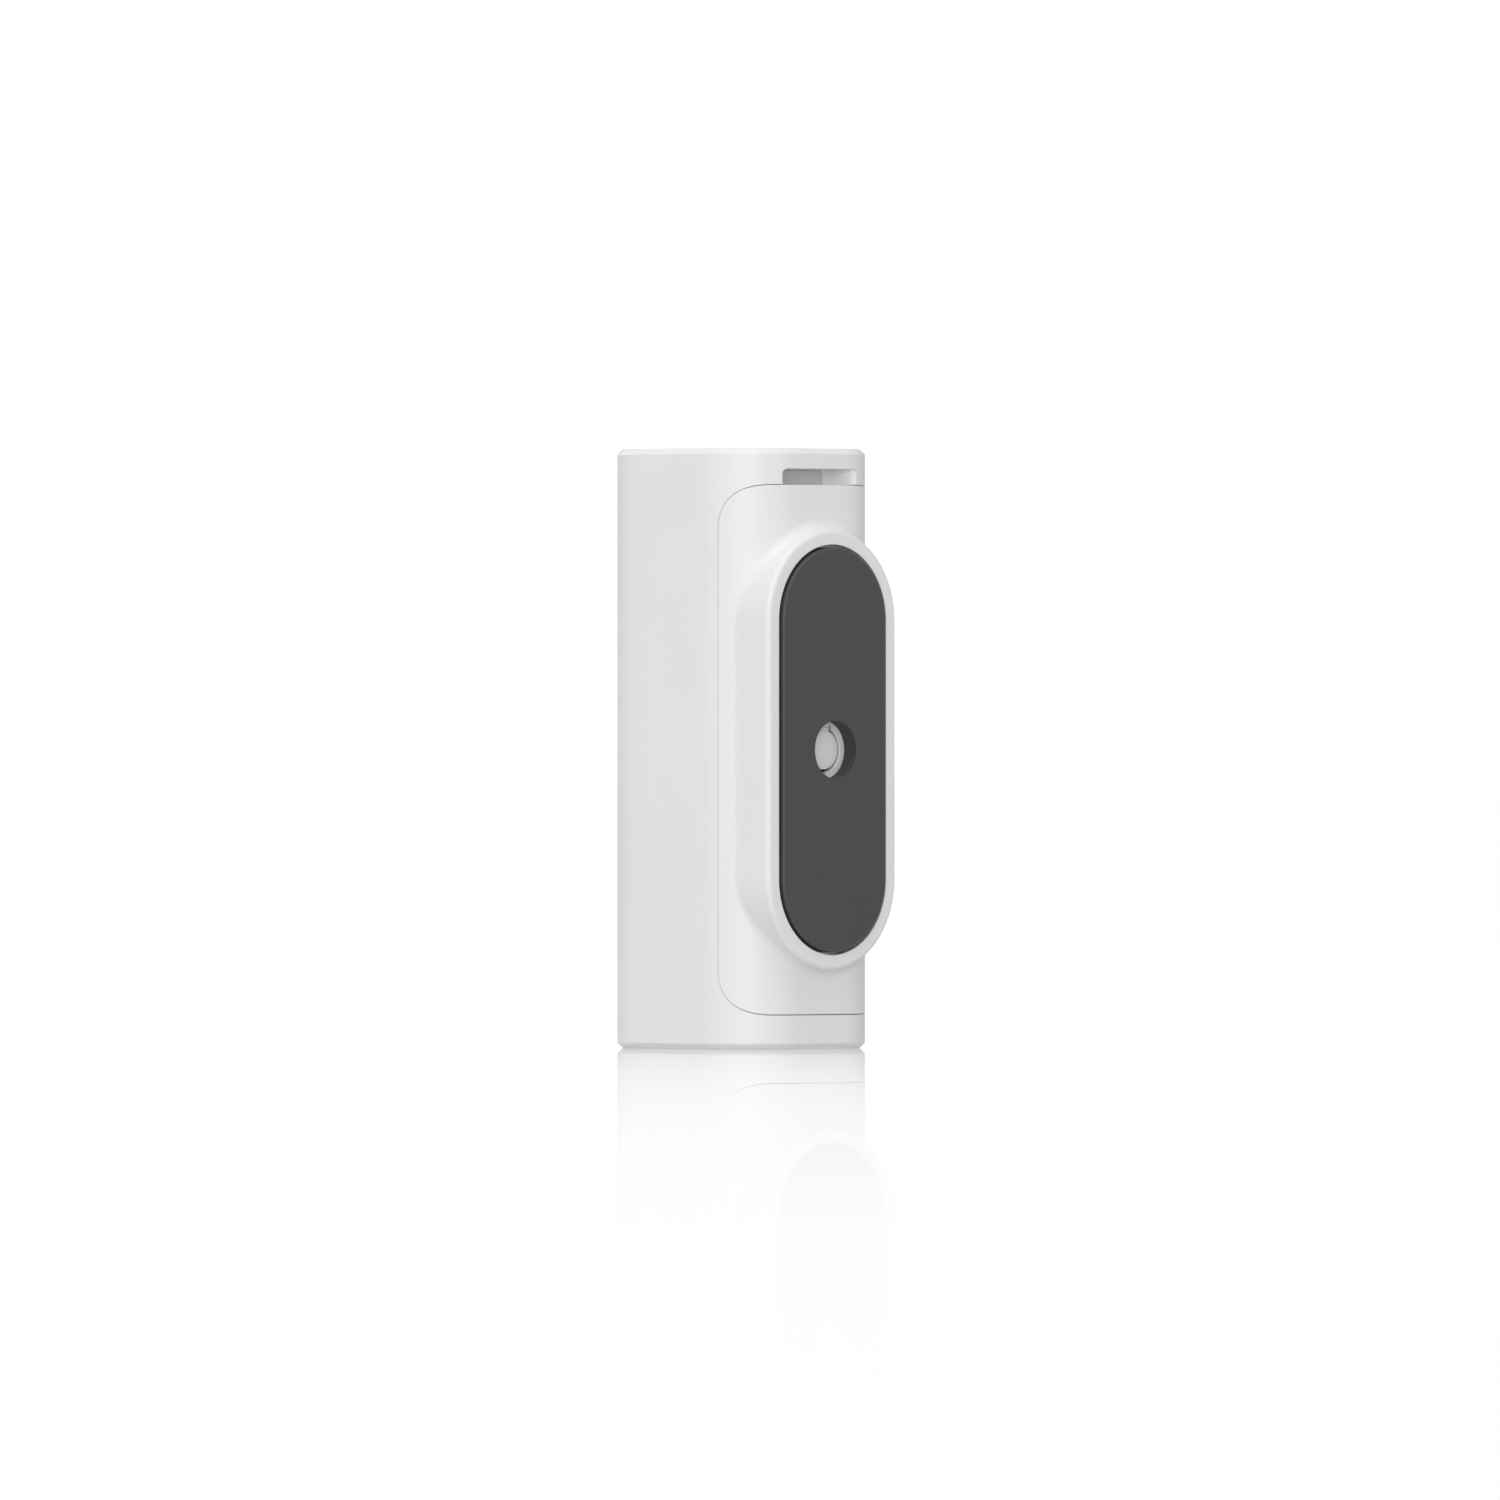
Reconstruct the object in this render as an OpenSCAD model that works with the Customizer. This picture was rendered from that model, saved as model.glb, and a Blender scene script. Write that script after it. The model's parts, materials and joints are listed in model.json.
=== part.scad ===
// Battery video doorbell: upright rounded housing, black front fascia with camera,
// motion lens and bell button, and a lift-off rear cover that carries a rubber wall pad.
// Origin: centre of the base. +Z up, +Y towards the wall, -Y towards the visitor. Millimetres.

/* [Housing] */
// Width of the housing, side to side
body_w = 44; // [43:0.5:60]
// Depth of the housing, front to back
body_d = 49; // [48:0.5:62]
// Height of the housing
body_h = 130; // [128:1:170]
// Radius of the four upright corners
corner_r = 14.5; // [12:0.5:18]
// Wall thickness of the housing and of the rear cover
wall = 2.2; // [1.8:0.1:2.7]
// Chamfer round the top and bottom edges
edge_chamfer = 1.1; // [0.5:0.1:1.8]

/* [Rear cover] */
// How far the rear cover wraps forward from the back face
cover_depth = 10.3; // [8:0.1:12]
// Gap from each end of the rear cover to the end of the housing
cover_margin = 7.5; // [6:0.5:9]
// Corner radius of the rear cover, seen from the side
cover_corner_r = 9.3; // [5:0.1:12]
// How far the rear cover's middle sits below the housing's middle
cover_drop = 0.25; // [0:0.05:1]
// Open seam between the rear cover and the housing
seam = 0.2; // [0.1:0.05:0.4]
// Width of the pill-shaped boss
boss_w = 39.3; // [36:0.1:41]
// Straight length between the two round ends of the boss
boss_straight = 56.1; // [40:0.1:62]
// How far the boss stands out of the back face
boss_proud = 3.5; // [2.5:0.1:6]
// Fillet round the boss's outer edge
boss_fillet = 1.1; // [0.4:0.1:1.5]

/* [Wall pad] */
// Width of the rubber wall pad
pad_w = 31.5; // [26:0.1:32.5]
// Thickness of the wall pad
pad_t = 3.65; // [2.5:0.05:4.5]
// How far the pad's face stands out of the boss's rim
pad_proud = 0.9; // [0.4:0.1:1.5]
// Groove between the pad and the boss's rim
pad_groove = 0.65; // [0.3:0.05:1]
// Diameter of the hole in the middle of the pad
pad_hole_d = 12.6; // [11:0.1:15]
// Rounding of the pad's edges
pad_edge = 0.3; // [0.1:0.05:0.6]

/* [Tamper flap] */
// Diameter of the tamper flap
flap_d = 8.6; // [7:0.1:9]
// Gap round the tamper flap
flap_gap = 0.65; // [0.4:0.05:0.8]
// Thickness of the tamper flap
flap_t = 1.2; // [0.8:0.1:1.6]

/* [Release notch] */
// Width of the release notch at the surface
notch_w = 23; // [18:0.5:26]
// Width of the notch's flat inner face
notch_floor_w = 14.2; // [12.5:0.1:16]
// Height of the notch above the rear cover
notch_h = 3.4; // [2.8:0.1:3.6]
// Depth of the notch below the back face
notch_depth = 6.7; // [5:0.1:8]
// Width of the release latch
latch_w = 14; // [8:0.5:14]
// Travel of the release latch
latch_travel = 1.2; // [0.8:0.1:1.6]

/* [Front] */
// Width of the front fascia
fascia_w = 27; // [26.5:0.5:29]
// Gap from each end of the fascia to the end of the housing
fascia_margin = 8; // [6:0.5:8.5]
// Thickness of the front fascia
fascia_t = 1.2; // [1:0.05:1.3]
// Diameter of the camera window
window_d = 12.6; // [11.5:0.1:14]
// Diameter of the camera lens barrel
barrel_d = 8; // [7:0.1:9]
// Diameter of the motion sensor's lens
pir_d = 15.2; // [12:0.1:17]
// Diameter of the bell button
button_d = 16; // [13:0.5:17]
// Travel of the bell button
button_travel = 0.5; // [0.3:0.05:0.7]

/* [Batteries] */
// Diameter of a battery cell
cell_d = 18.4; // [16:0.1:18.4]
// Length of a battery cell without its raised contact
cell_h = 65; // [50:0.5:66]

/* [Hidden] */
$fn = 96;

white = "WhiteSmoke";
pad_grey = "#4B4B4B";
board_green = "#1F4D38";
eps = 0.01;
running_gap = 0.05; // radial clearance of a plunger in its bore
screw_gap = 0.02; // radial clearance of a screw in its bore
face_gap = 0.05; // gap between two faces that meet across a joint

// Housing
front_y = -body_d / 2;
back_y = body_d / 2;
seal_t = 0.3;
ledge_w = 1.3; // width of the ledge that the fascia sits on
pill_half = fascia_w / 2;
pill_straight = body_h - 2 * fascia_margin - fascia_w;
mid_z = body_h / 2;

// Rear cover, boss and pad
cover_h = body_h - 2 * cover_margin;
cover_z = mid_z - cover_drop;
cover_y = back_y - cover_depth;
cover_top_z = cover_z + cover_h / 2;
rim_y = back_y + boss_proud;
pad_y = rim_y + pad_proud;
recess_y = pad_y - pad_t;
recess_half = pad_w / 2 + pad_groove;
floor_t = 2; // wall behind the pad
flap_hole_r = flap_d / 2 + flap_gap;
floor_inner_y = recess_y - floor_t;
peg_r = 1.5;
peg_inset = 6.5; // height of each peg's axis inside the cover's end
peg_zs = [cover_z - cover_h / 2 + peg_inset, cover_top_z - peg_inset - 2];
lip_t = 1.7; // lip of the cover that closes the notch from below
lip_top_z = cover_top_z - seam - 0.1;

// Release notch and latch
notch_z = cover_top_z;
notch_y = back_y - notch_depth;
notch_corner_r = 1.5;
block_drop = 0.1; // the latch housing reaches this far below the notch
latch_gap = 0.1; // clearance all round the latch
latch_corner_r = 0.7;
latch_z = notch_z - seam + latch_gap;
latch_t = notch_h - 0.3;
latch_len = 6.25;
latch_back_y = notch_y - face_gap - latch_len;
spring_seat_y = latch_back_y - 3.5;
latch_bore_r = 1.1;
latch_spring_z = latch_z + latch_t / 2;
latch_spring_r = 0.75;
latch_bore_end_y = notch_y - 1.2;

// Front: depths are counted inwards from the front face
camera_z = mid_z + pill_straight / 2;
button_z = mid_z - pill_straight / 2;
pir_z = camera_z - 30.5;
ir_z = camera_z - 13.5;
speaker_z = button_z + 28.5;
mic_z = button_z + 14;
ir_x = 5;
lens_r = 9; // radius of the camera lens's front surface
board_y = front_y + 9.2; // front face of the camera board and the front board
board_t = 1;
ring_gap = 0.15;
ring_w = 1.25;
ring_r = button_d / 2 + ring_gap + ring_w;
ring_flange = 1.1;
ring_flange_y = front_y + fascia_t + face_gap + sag(ring_r + ring_flange, fascia_t);
pir_flange_y = front_y + fascia_t + face_gap + sag(pir_d / 2 + 1, fascia_t);
light_ring_end_y = front_y + 4.1;
button_flange_y = light_ring_end_y + 0.3;
flange_t = 0.8;
dish_r = 56; // radius of the hollow in the button's face
dish_depth = 0.6;
switch_top_y = board_y - 2;
plunger_tip_y = switch_top_y - 0.7;
plunger_r = 1.6;
plunger_in = 0.3; // length of the plunger inside its switch at rest
plunger_stop_y = switch_top_y + plunger_in + button_travel + 0.2;
speaker_r = 7;
slot_count = 5;
slot_pitch = 2.2;

// How far a wall curves back at a distance x from the middle, on the surface or at a depth below it
function sag(x, depth = 0) = let (r = corner_r - depth, over = max(0, x - (body_w / 2 - corner_r)))
    r - sqrt(r * r - over * over);

// Inner frame and boards
chassis_y = front_y + 18.5; // front face of the chassis plate
chassis_t = 1.6;
chassis_back_y = chassis_y + chassis_t;
peg_tip_y = chassis_back_y + 10.4;
chassis_half = body_w / 2 - wall - 0.9;
chassis_h = cover_h - 3;
main_y = chassis_y - 4; // front face of the main board
main_t = 1.2;
main_back_y = main_y + main_t;
main_half = chassis_half - 6.3;
main_h = chassis_h - 8;
chassis_screw_x = chassis_half - 3.3;
chassis_screw_dz = chassis_h / 2 - 5;
main_screw_x = main_half - 2.3;
main_screw_dz = main_h / 2 - 11;
front_board_half = 11;
front_board_z0 = button_z - 11.5;
front_board_z1 = ir_z + 2;
camera_board_half = [9, 10];
post_r = 2;
front_posts = [
    for (sx = [-1, 1]) [sx * 8.5, button_z + 9.5],
    for (sx = [-1, 1]) [sx * 8.5, pir_z + 10.5],
    for (sx = [-1, 1]) [sx * 7, camera_z]
];
main_posts = [for (sx = [-1, 1], sz = [-1, 1]) [sx * main_screw_x, cover_z + sz * main_screw_dz]];
chassis_points = [for (sx = [-1, 1], sz = [-1, 1]) [sx * chassis_screw_x, cover_z + sz * chassis_screw_dz]];

// Battery tray
tray_t = 1.2;
tray_y = chassis_back_y;
tray_back_y = tray_y + tray_t;
tray_end_t = 2.5;
spring_space = 4.1;
contact_t = 0.4;
nub_h = 1;
bay_h = contact_t + spring_space + cell_h + nub_h + contact_t + 0.1;
bay_z0 = cover_z - bay_h / 2 - 1.5;
bay_z1 = bay_z0 + bay_h;
contact_zs = [bay_z0 + contact_t / 2, bay_z1 - contact_t / 2];
tray_flange = 3.5;
tray_screw_x = main_half + 1.9;
tray_points = [
    for (sx = [-1, 1]) [sx * tray_screw_x, bay_z0 - tray_end_t - 2],
    for (sx = [-1, 1]) [sx * tray_screw_x, bay_z1 + tray_end_t + 2]
];
web_t = 0.8;
cell_x = cell_d / 2 + web_t / 2 + 0.2;
cell_y = tray_back_y + cell_d / 2 + 0.2;
cell_z0 = bay_z0 + contact_t + spring_space;
web_y = cell_y + cell_d / 2 + 0.6;
end_wall_y = cell_y + 5.8;
tamper_z = cover_z;
tamper_base_y = web_y + 0.15;
tamper_top_y = tamper_base_y + 1.85;
tamper_tip_y = floor_inner_y - 2.45;
flap_peg_y = tamper_tip_y + 0.3;
flex_z = bay_z0 - tray_end_t - 5;
flex_t = 0.15;
flex_half = 1.5;

// Pieces on the main board's rear face
service_z = cover_z - chassis_h / 2 + 7.5;
service_x = 8;
usb_w = 8.9;
usb_t = 3.3;
usb_mouth_y = chassis_back_y + 2;
reset_r = 1.8;
reset_tip_y = chassis_back_y + 1.4;
reset_base_y = main_back_y + 2;

// ---- Shared shapes ----

// Outline of the housing seen from above, grown by g
module plan(g = 0) {
    w = body_w + 2 * g;
    d = body_d + 2 * g;
    r = corner_r + g;
    square([w - 2 * r, d], center = true);
    square([w, d - 2 * r], center = true);
    for (sx = [-1, 1], sy = [-1, 1])
        translate([sx * (w / 2 - r), sy * (d / 2 - r)]) circle(r);
}

// Upright prism on that outline
module prism(g, z0, z1) translate([0, 0, z0]) linear_extrude(z1 - z0) plan(g);

// Skin of the housing between two depths below its surface
module skin(d0, d1) difference() {
    prism(-d0, 0, body_h);
    prism(-d1, -1, body_h + 1);
}

// Extrudes a side view, drawn as (y, z), across the width
module across_x(x0, x1) translate([x0, 0, 0]) rotate([90, 0, 90]) linear_extrude(x1 - x0) children();

// Extrudes a rear view, drawn as (x, z), from y0 to y1
module across_y(y0, y1) translate([0, y1, 0]) rotate([90, 0, 0]) linear_extrude(y1 - y0) children();

// Round bar along Y
module rod(r, y0, y1, x = 0, z = 0) translate([x, y0, z]) rotate([-90, 0, 0]) cylinder(r = r, h = y1 - y0);

// Tube along Y
module tube(r, bore, y0, y1, x = 0, z = 0) difference() {
    rod(r, y0, y1, x, z);
    rod(bore, y0 - 1, y1 + 1, x, z);
}

// Box given by its width, its height and its place
module box(w, h, y0, y1, x = 0, z = 0) translate([x - w / 2, y0, z - h / 2]) cube([w, y1 - y0, h]);

// Pill outline, upright, centred on the origin
module pill(half, straight) {
    square([2 * half, straight], center = true);
    for (s = [-1, 1]) translate([0, s * straight / 2]) circle(half);
}

// Upright pill from y0 to y1 with its +Y edge rounded
module round_pill(half, straight, y0, y1, edge) {
    for (s = [-1, 1])
        translate([0, 0, s * straight / 2]) rotate([-90, 0, 0]) rotate_extrude() half_profile();
    translate([0, 0, -straight / 2]) linear_extrude(straight) {
        half_profile();
        mirror([1, 0]) half_profile();
    }
    module half_profile() {
        translate([0, y0]) square([half, y1 - edge - y0]);
        translate([0, y0]) square([half - edge, y1 - y0]);
        translate([half - edge, y1 - edge]) intersection() {
            circle(edge);
            square(edge);
        }
    }
}

// Side view of the rear cover, as (y, z), grown by g
module cover_outline(g = 0) {
    r = cover_corner_r + g;
    y0 = cover_y - g;
    half = cover_h / 2 + g;
    translate([y0 + r, cover_z - half]) square([body_d, 2 * half]);
    translate([y0, cover_z - half + r]) square([r + 1, 2 * (half - r)]);
    for (s = [-1, 1]) translate([y0 + r, cover_z + s * (half - r)]) circle(r);
}

// Pan head and shank pointing towards -Y or +Y (dir), head on the plane y
module screw(x, z, y, dir, head_r, head_h, shank_r, shank_l) {
    rod(head_r, min(y, y + dir * head_h), max(y, y + dir * head_h), x, z);
    rod(shank_r, min(y + dir * eps, y - dir * shank_l), max(y + dir * eps, y - dir * shank_l), x, z);
}

// Coil spring of round wire, along +Z from z = 0 to its full length
module coil(r, wire_r, turns, length) {
    sides = 8;
    per_turn = 16;
    steps = per_turn * turns;
    rise = (length - 2 * wire_r) / steps;
    function ring_point(i, j) = let (a = 360 * i / per_turn, b = 360 * j / sides, d = r + wire_r * cos(b))
        [d * cos(a), d * sin(a), wire_r + i * rise + wire_r * sin(b)];
    function number(i, j) = i * sides + j % sides;
    polyhedron(
        points = [for (i = [0:steps], j = [0:sides - 1]) ring_point(i, j)],
        faces = [
            [for (j = [0:sides - 1]) j],
            for (i = [0:steps - 1], j = [0:sides - 1])
                [number(i, j), number(i + 1, j), number(i + 1, j + 1), number(i, j + 1)],
            [for (j = [sides - 1:-1:0]) number(steps, j)]
        ]
    );
}

// ---- Housing and front ----

// Full outer form of the housing with its chamfered ends
module outer_form() {
    c = edge_chamfer;
    h = body_h;
    wx = body_w / 2;
    wy = body_d / 2;
    for (sx = [-1, 1], sy = [-1, 1])
        translate([sx * (wx - corner_r), sy * (wy - corner_r)])
            rotate_extrude()
                polygon([
                    [0, 0], [corner_r - c, 0], [corner_r, c],
                    [corner_r, h - c], [corner_r - c, h], [0, h]
                ]);
    across_x(corner_r - wx, wx - corner_r) end_outline(wy, h, c);
    across_y(corner_r - wy, wy - corner_r) end_outline(wx, h, c);
}

// Rectangle standing on the base, with four chamfered corners
module end_outline(half, h, c) polygon([
    [c - half, 0], [half - c, 0], [half, c], [half, h - c],
    [half - c, h], [c - half, h], [-half, h - c], [-half, c]
]);

// Plan of the release notch: flat inner face, and a smooth ramp up to the surface at each end
module notch_plan() {
    steps = 10;
    ramp_w = (notch_w - notch_floor_w) / 2;
    rise = notch_depth - sag(notch_w / 2);
    function ramp_point(t) = [notch_floor_w / 2 + ramp_w * t, notch_y + rise * (1 - cos(180 * t)) / 2];
    ramp = [for (i = [0:steps]) ramp_point(i / steps)];
    polygon([
        each ramp,
        [notch_w / 2, back_y + 1],
        [-notch_w / 2, back_y + 1],
        for (i = [steps:-1:0]) [-ramp[i][0], ramp[i][1]]
    ]);
}

module notch_cut() {
    z1 = notch_z + notch_h;
    r = notch_corner_r;
    intersection() {
        translate([0, 0, notch_z - 1]) linear_extrude(z1 - notch_z + 1) notch_plan();
        across_y(notch_y - 1, back_y + 1) {
            translate([-notch_w / 2, notch_z - 1]) square([notch_w, z1 - r - notch_z + 1]);
            translate([r - notch_w / 2, notch_z]) square([notch_w - 2 * r, z1 - notch_z]);
            for (s = [-1, 1]) translate([s * (notch_w / 2 - r), z1 - r]) circle(r);
        }
    }
}

// Body of the release latch, grown by g, with its two top corners rounded
module latch_form(g, y0, y1) {
    half = latch_w / 2 + g;
    top = latch_z + latch_t + g;
    r = latch_corner_r + g;
    across_y(y0, y1) {
        translate([-half, latch_z - g]) square([2 * half, top - r - latch_z + g]);
        translate([r - half, latch_z - g]) square([2 * (half - r), top - latch_z + g]);
        for (s = [-1, 1]) translate([s * (half - r), top - r]) circle(r);
    }
}

module housing() color(white) difference() {
    union() {
        difference() {
            outer_form();
            prism(-wall, wall, body_h - wall);
        }
        intersection() {
            prism(-wall / 2, 0, body_h);
            for (p = chassis_points) rod(2.6, front_y, chassis_y, p[0], p[1]);
        }
        intersection() {
            prism(-wall / 2, 0, body_h - wall / 2);
            translate([-notch_w / 2 - 1.2, spring_seat_y - 1.5, notch_z - block_drop])
                cube([notch_w + 2.4, back_y - spring_seat_y + 1.5, body_h]);
        }
    }
    across_x(-body_w, body_w) cover_outline();
    notch_cut();
    latch_form(latch_gap, spring_seat_y, notch_y + eps);
    intersection() {
        skin(-1, fascia_t + seal_t);
        translate([0, 0, mid_z]) across_y(front_y - 1, -corner_r / 2) pill(pill_half, pill_straight);
    }
    translate([0, 0, mid_z]) across_y(front_y - 1, -corner_r / 2) pill(pill_half - ledge_w, pill_straight);
    for (p = chassis_points) rod(1.2 + screw_gap, chassis_y - 9, chassis_y + 1, p[0], p[1]);
}

module front_fascia() color("#17181A") difference() {
    intersection() {
        skin(0, fascia_t);
        translate([0, 0, mid_z]) across_y(front_y - 1, -corner_r / 2) pill(pill_half - 0.15, pill_straight);
    }
    rod(window_d / 2 + 0.1, front_y - 1, front_y + 0.8, 0, camera_z);
    rod(window_d / 2 - 0.9, front_y - 1, front_y + 4, 0, camera_z);
    rod(pir_d / 2 + 0.1, front_y - 1, front_y + 4, 0, pir_z);
    rod(ring_r + 0.1, front_y - 1, front_y + 4, 0, button_z);
    rod(0.6, front_y - 1, front_y + 4, 0, mic_z);
    for (s = [-1, 1]) rod(1.7, front_y - 1, front_y + 4, s * ir_x, ir_z);
    for (i = [0:slot_count - 1])
        translate([0, 0, speaker_z + (i - (slot_count - 1) / 2) * slot_pitch])
            across_y(front_y - 1, front_y + 4) rotate(90) pill(0.45, 9);
}

module fascia_seal() color("#2B2B2B") intersection() {
    skin(fascia_t, fascia_t + seal_t);
    translate([0, 0, mid_z]) across_y(front_y - 1, -corner_r / 2) difference() {
        pill(pill_half - 0.2, pill_straight);
        pill(pill_half - ledge_w + 0.1, pill_straight);
    }
}

module camera_window() color("#30343A") rod(window_d / 2, front_y + 0.1, front_y + 0.8, 0, camera_z);

module ir_windows() color("#3A1518")
    for (s = [-1, 1]) rod(1.6, front_y + 0.2, front_y + fascia_t, s * ir_x, ir_z);

module pir_lens() color("#E9E9E4") difference() {
    union() {
        rod(pir_d / 2, front_y + 0.2, pir_flange_y + eps, 0, pir_z);
        rod(pir_d / 2 + 1, pir_flange_y, pir_flange_y + 0.55, 0, pir_z);
    }
    rod(pir_d / 2 - 0.6, front_y + 0.9, front_y + 4, 0, pir_z);
}

module light_ring() color("#DDEBF2") difference() {
    union() {
        rod(ring_r, front_y + 0.2, light_ring_end_y, 0, button_z);
        rod(ring_r + ring_flange, ring_flange_y, ring_flange_y + flange_t, 0, button_z);
    }
    rod(ring_r - ring_w, front_y - 1, light_ring_end_y + 1, 0, button_z);
}

module bell_button() color("#26282B") difference() {
    union() {
        rod(button_d / 2, front_y + 0.3, button_flange_y + eps, 0, button_z);
        rod(ring_r - 0.2, button_flange_y, button_flange_y + flange_t, 0, button_z);
        rod(2, button_flange_y, plunger_tip_y - face_gap, 0, button_z);
    }
    translate([0, front_y + 0.3 + dish_depth - dish_r, button_z]) sphere(dish_r, $fn = 96);
}

module button_switch() color("#3C3C3E") difference() {
    box(6, 6, switch_top_y, board_y, 0, button_z);
    rod(plunger_r + running_gap, switch_top_y - 1, plunger_stop_y, 0, button_z);
}

module switch_plunger() color("#B9BCC0")
    rod(plunger_r, plunger_tip_y, switch_top_y + plunger_in, 0, button_z);

// ---- Camera, sensors and sound ----

module lens_hood() color("#1C1C1C")
    tube(window_d / 2 - 1, barrel_d / 2 + 0.15, front_y + 0.95, front_y + 4, 0, camera_z);

module lens_barrel() color("#202124") difference() {
    union() {
        rod(barrel_d / 2, front_y + 1.9, board_y - 3.2, 0, camera_z);
        rod(barrel_d / 2 - 0.8, board_y - 3.3, board_y - 1.2, 0, camera_z);
    }
    rod(barrel_d / 2 - 0.9, front_y, front_y + 3, 0, camera_z);
    rod(barrel_d / 2 - 1.8, front_y, board_y, 0, camera_z);
}

module lens_glass() color("#5A6A80") intersection() {
    rod(barrel_d / 2 - 0.95, front_y + 1.5, front_y + 3 - eps, 0, camera_z);
    translate([0, front_y + 1.7 + lens_r, camera_z]) sphere(lens_r, $fn = 96);
}

module lens_holder() color("#26272A") difference() {
    box(9.5, 9.5, board_y - 3.2, board_y, 0, camera_z);
    rod(barrel_d / 2 - 0.8 + running_gap, board_y - 4, board_y - 1, 0, camera_z);
    box(7.4, 6.4, board_y - 1.1, board_y + 1, 0, camera_z);
}

module image_sensor() color("#55606E") box(7, 6, board_y - 0.9, board_y, 0, camera_z);

module camera_board() color(board_green) difference() {
    box(2 * camera_board_half[0], 2 * camera_board_half[1], board_y, board_y + board_t, 0, camera_z);
    for (s = [-1, 1]) rod(1, board_y - 1, board_y + 3, s * 7, camera_z);
}

module ir_leds() color("#C8C4D8") for (s = [-1, 1]) {
    rod(1.5, board_y - 2.6, board_y, s * ir_x, ir_z);
    translate([s * ir_x, board_y - 2.6, ir_z]) sphere(1.5, $fn = 48);
}

module pir_holder() color("#2A2A2C")
    tube(pir_d / 2 + 0.8, pir_d / 2, pir_flange_y + 0.55, board_y, 0, pir_z);

module pir_sensor() color("#C9CBCD") {
    rod(4.1, board_y - 4.2, board_y, 0, pir_z);
    rod(4.7, board_y - 0.5, board_y, 0, pir_z);
}

module ring_leds() color("#F2F0DA") {
    middle_r = ring_r - ring_w / 2;
    for (a = [45:90:315])
        box(1.6, 1.6, board_y - 0.8, board_y, middle_r * cos(a), button_z + middle_r * sin(a));
}

module microphone() color("#C4B070") box(3, 4, board_y - 1, board_y, 0, mic_z);

module mic_boot() color("#242424") tube(2, 0.6, front_y + fascia_t + seal_t, board_y - 1, 0, mic_z);

module speaker_frame() color("#353638") {
    difference() {
        rod(speaker_r, front_y + 3, board_y - 2, 0, speaker_z);
        rod(speaker_r - 0.8, front_y + 2, board_y - 3, 0, speaker_z);
    }
    rod(4, board_y - 2 - eps, board_y, 0, speaker_z);
}

module speaker_cone() color("#5B5D60") translate([0, front_y + 3.3, speaker_z]) rotate([-90, 0, 0])
    rotate_extrude() polygon([
        [0, 0.6], [2, 1.5], [5, 0.2], [speaker_r - 0.9, 0.2],
        [speaker_r - 0.9, 0.5], [5, 0.5], [2, 1.8], [0, 0.9]
    ]);

module speaker_gasket() color("#242424")
    tube(speaker_r, speaker_r - 0.8, front_y + fascia_t + seal_t, front_y + 3, 0, speaker_z);

// Boards

module front_board() color(board_green) difference() {
    box(2 * front_board_half, front_board_z1 - front_board_z0, board_y, board_y + board_t,
        0, (front_board_z0 + front_board_z1) / 2);
    for (p = front_posts) rod(1, board_y - 1, board_y + 3, p[0], p[1]);
}

module main_board() color(board_green) difference() {
    box(2 * main_half, main_h, main_y, main_back_y, 0, cover_z);
    for (p = front_posts) rod(post_r + 0.3, main_y - 1, main_back_y + 1, p[0], p[1]);
    for (p = main_posts) rod(1, main_y - 1, main_back_y + 1, p[0], p[1]);
}

module shield_can() color("#BFC2C4") difference() {
    box(17, 17, main_y - 2.2, main_y, 0, pir_z - 6);
    box(16.6, 16.6, main_y - 2, main_y + 1, 0, pir_z - 6);
}

module board_chips() color("#2C2D30") {
    box(9, 9, main_y - 1, main_y, 0, speaker_z - 5);
    box(5, 4, main_y - 0.9, main_y, 7, speaker_z + 5);
    box(4, 4, main_y - 2, main_y, -7, speaker_z + 5);
    for (i = [0:4]) box(1.6, 0.9, main_y - 0.6, main_y, -8 + 4 * i, speaker_z - 13);
}

module board_connectors() color("#D9D4C4") {
    box(12, 3, board_y + board_t, main_y, 0, speaker_z + 9);
    box(10, 3, board_y + board_t, main_y, 0, camera_z - 7.5);
}

module usb_socket() color("#B8BBBE") translate([-service_x, 0, service_z]) {
    difference() {
        across_y(main_back_y, usb_mouth_y) rotate(90) pill(usb_t / 2, usb_w - usb_t);
        across_y(main_back_y + 1, usb_mouth_y + 1) rotate(90) pill(usb_t / 2 - 0.3, usb_w - usb_t);
    }
    box(6.6, 0.7, main_back_y + 0.9, usb_mouth_y - 0.8);
}

module reset_switch() color("#3C3C3E") difference() {
    box(5, 5, main_back_y, reset_base_y, service_x, service_z);
    rod(reset_r + running_gap, reset_base_y - 1, reset_base_y + 1, service_x, service_z);
}

module reset_button() color("#D8D8D6") rod(reset_r, reset_base_y - 0.4, reset_tip_y, service_x, service_z);

// ---- Inner frame ----

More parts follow.
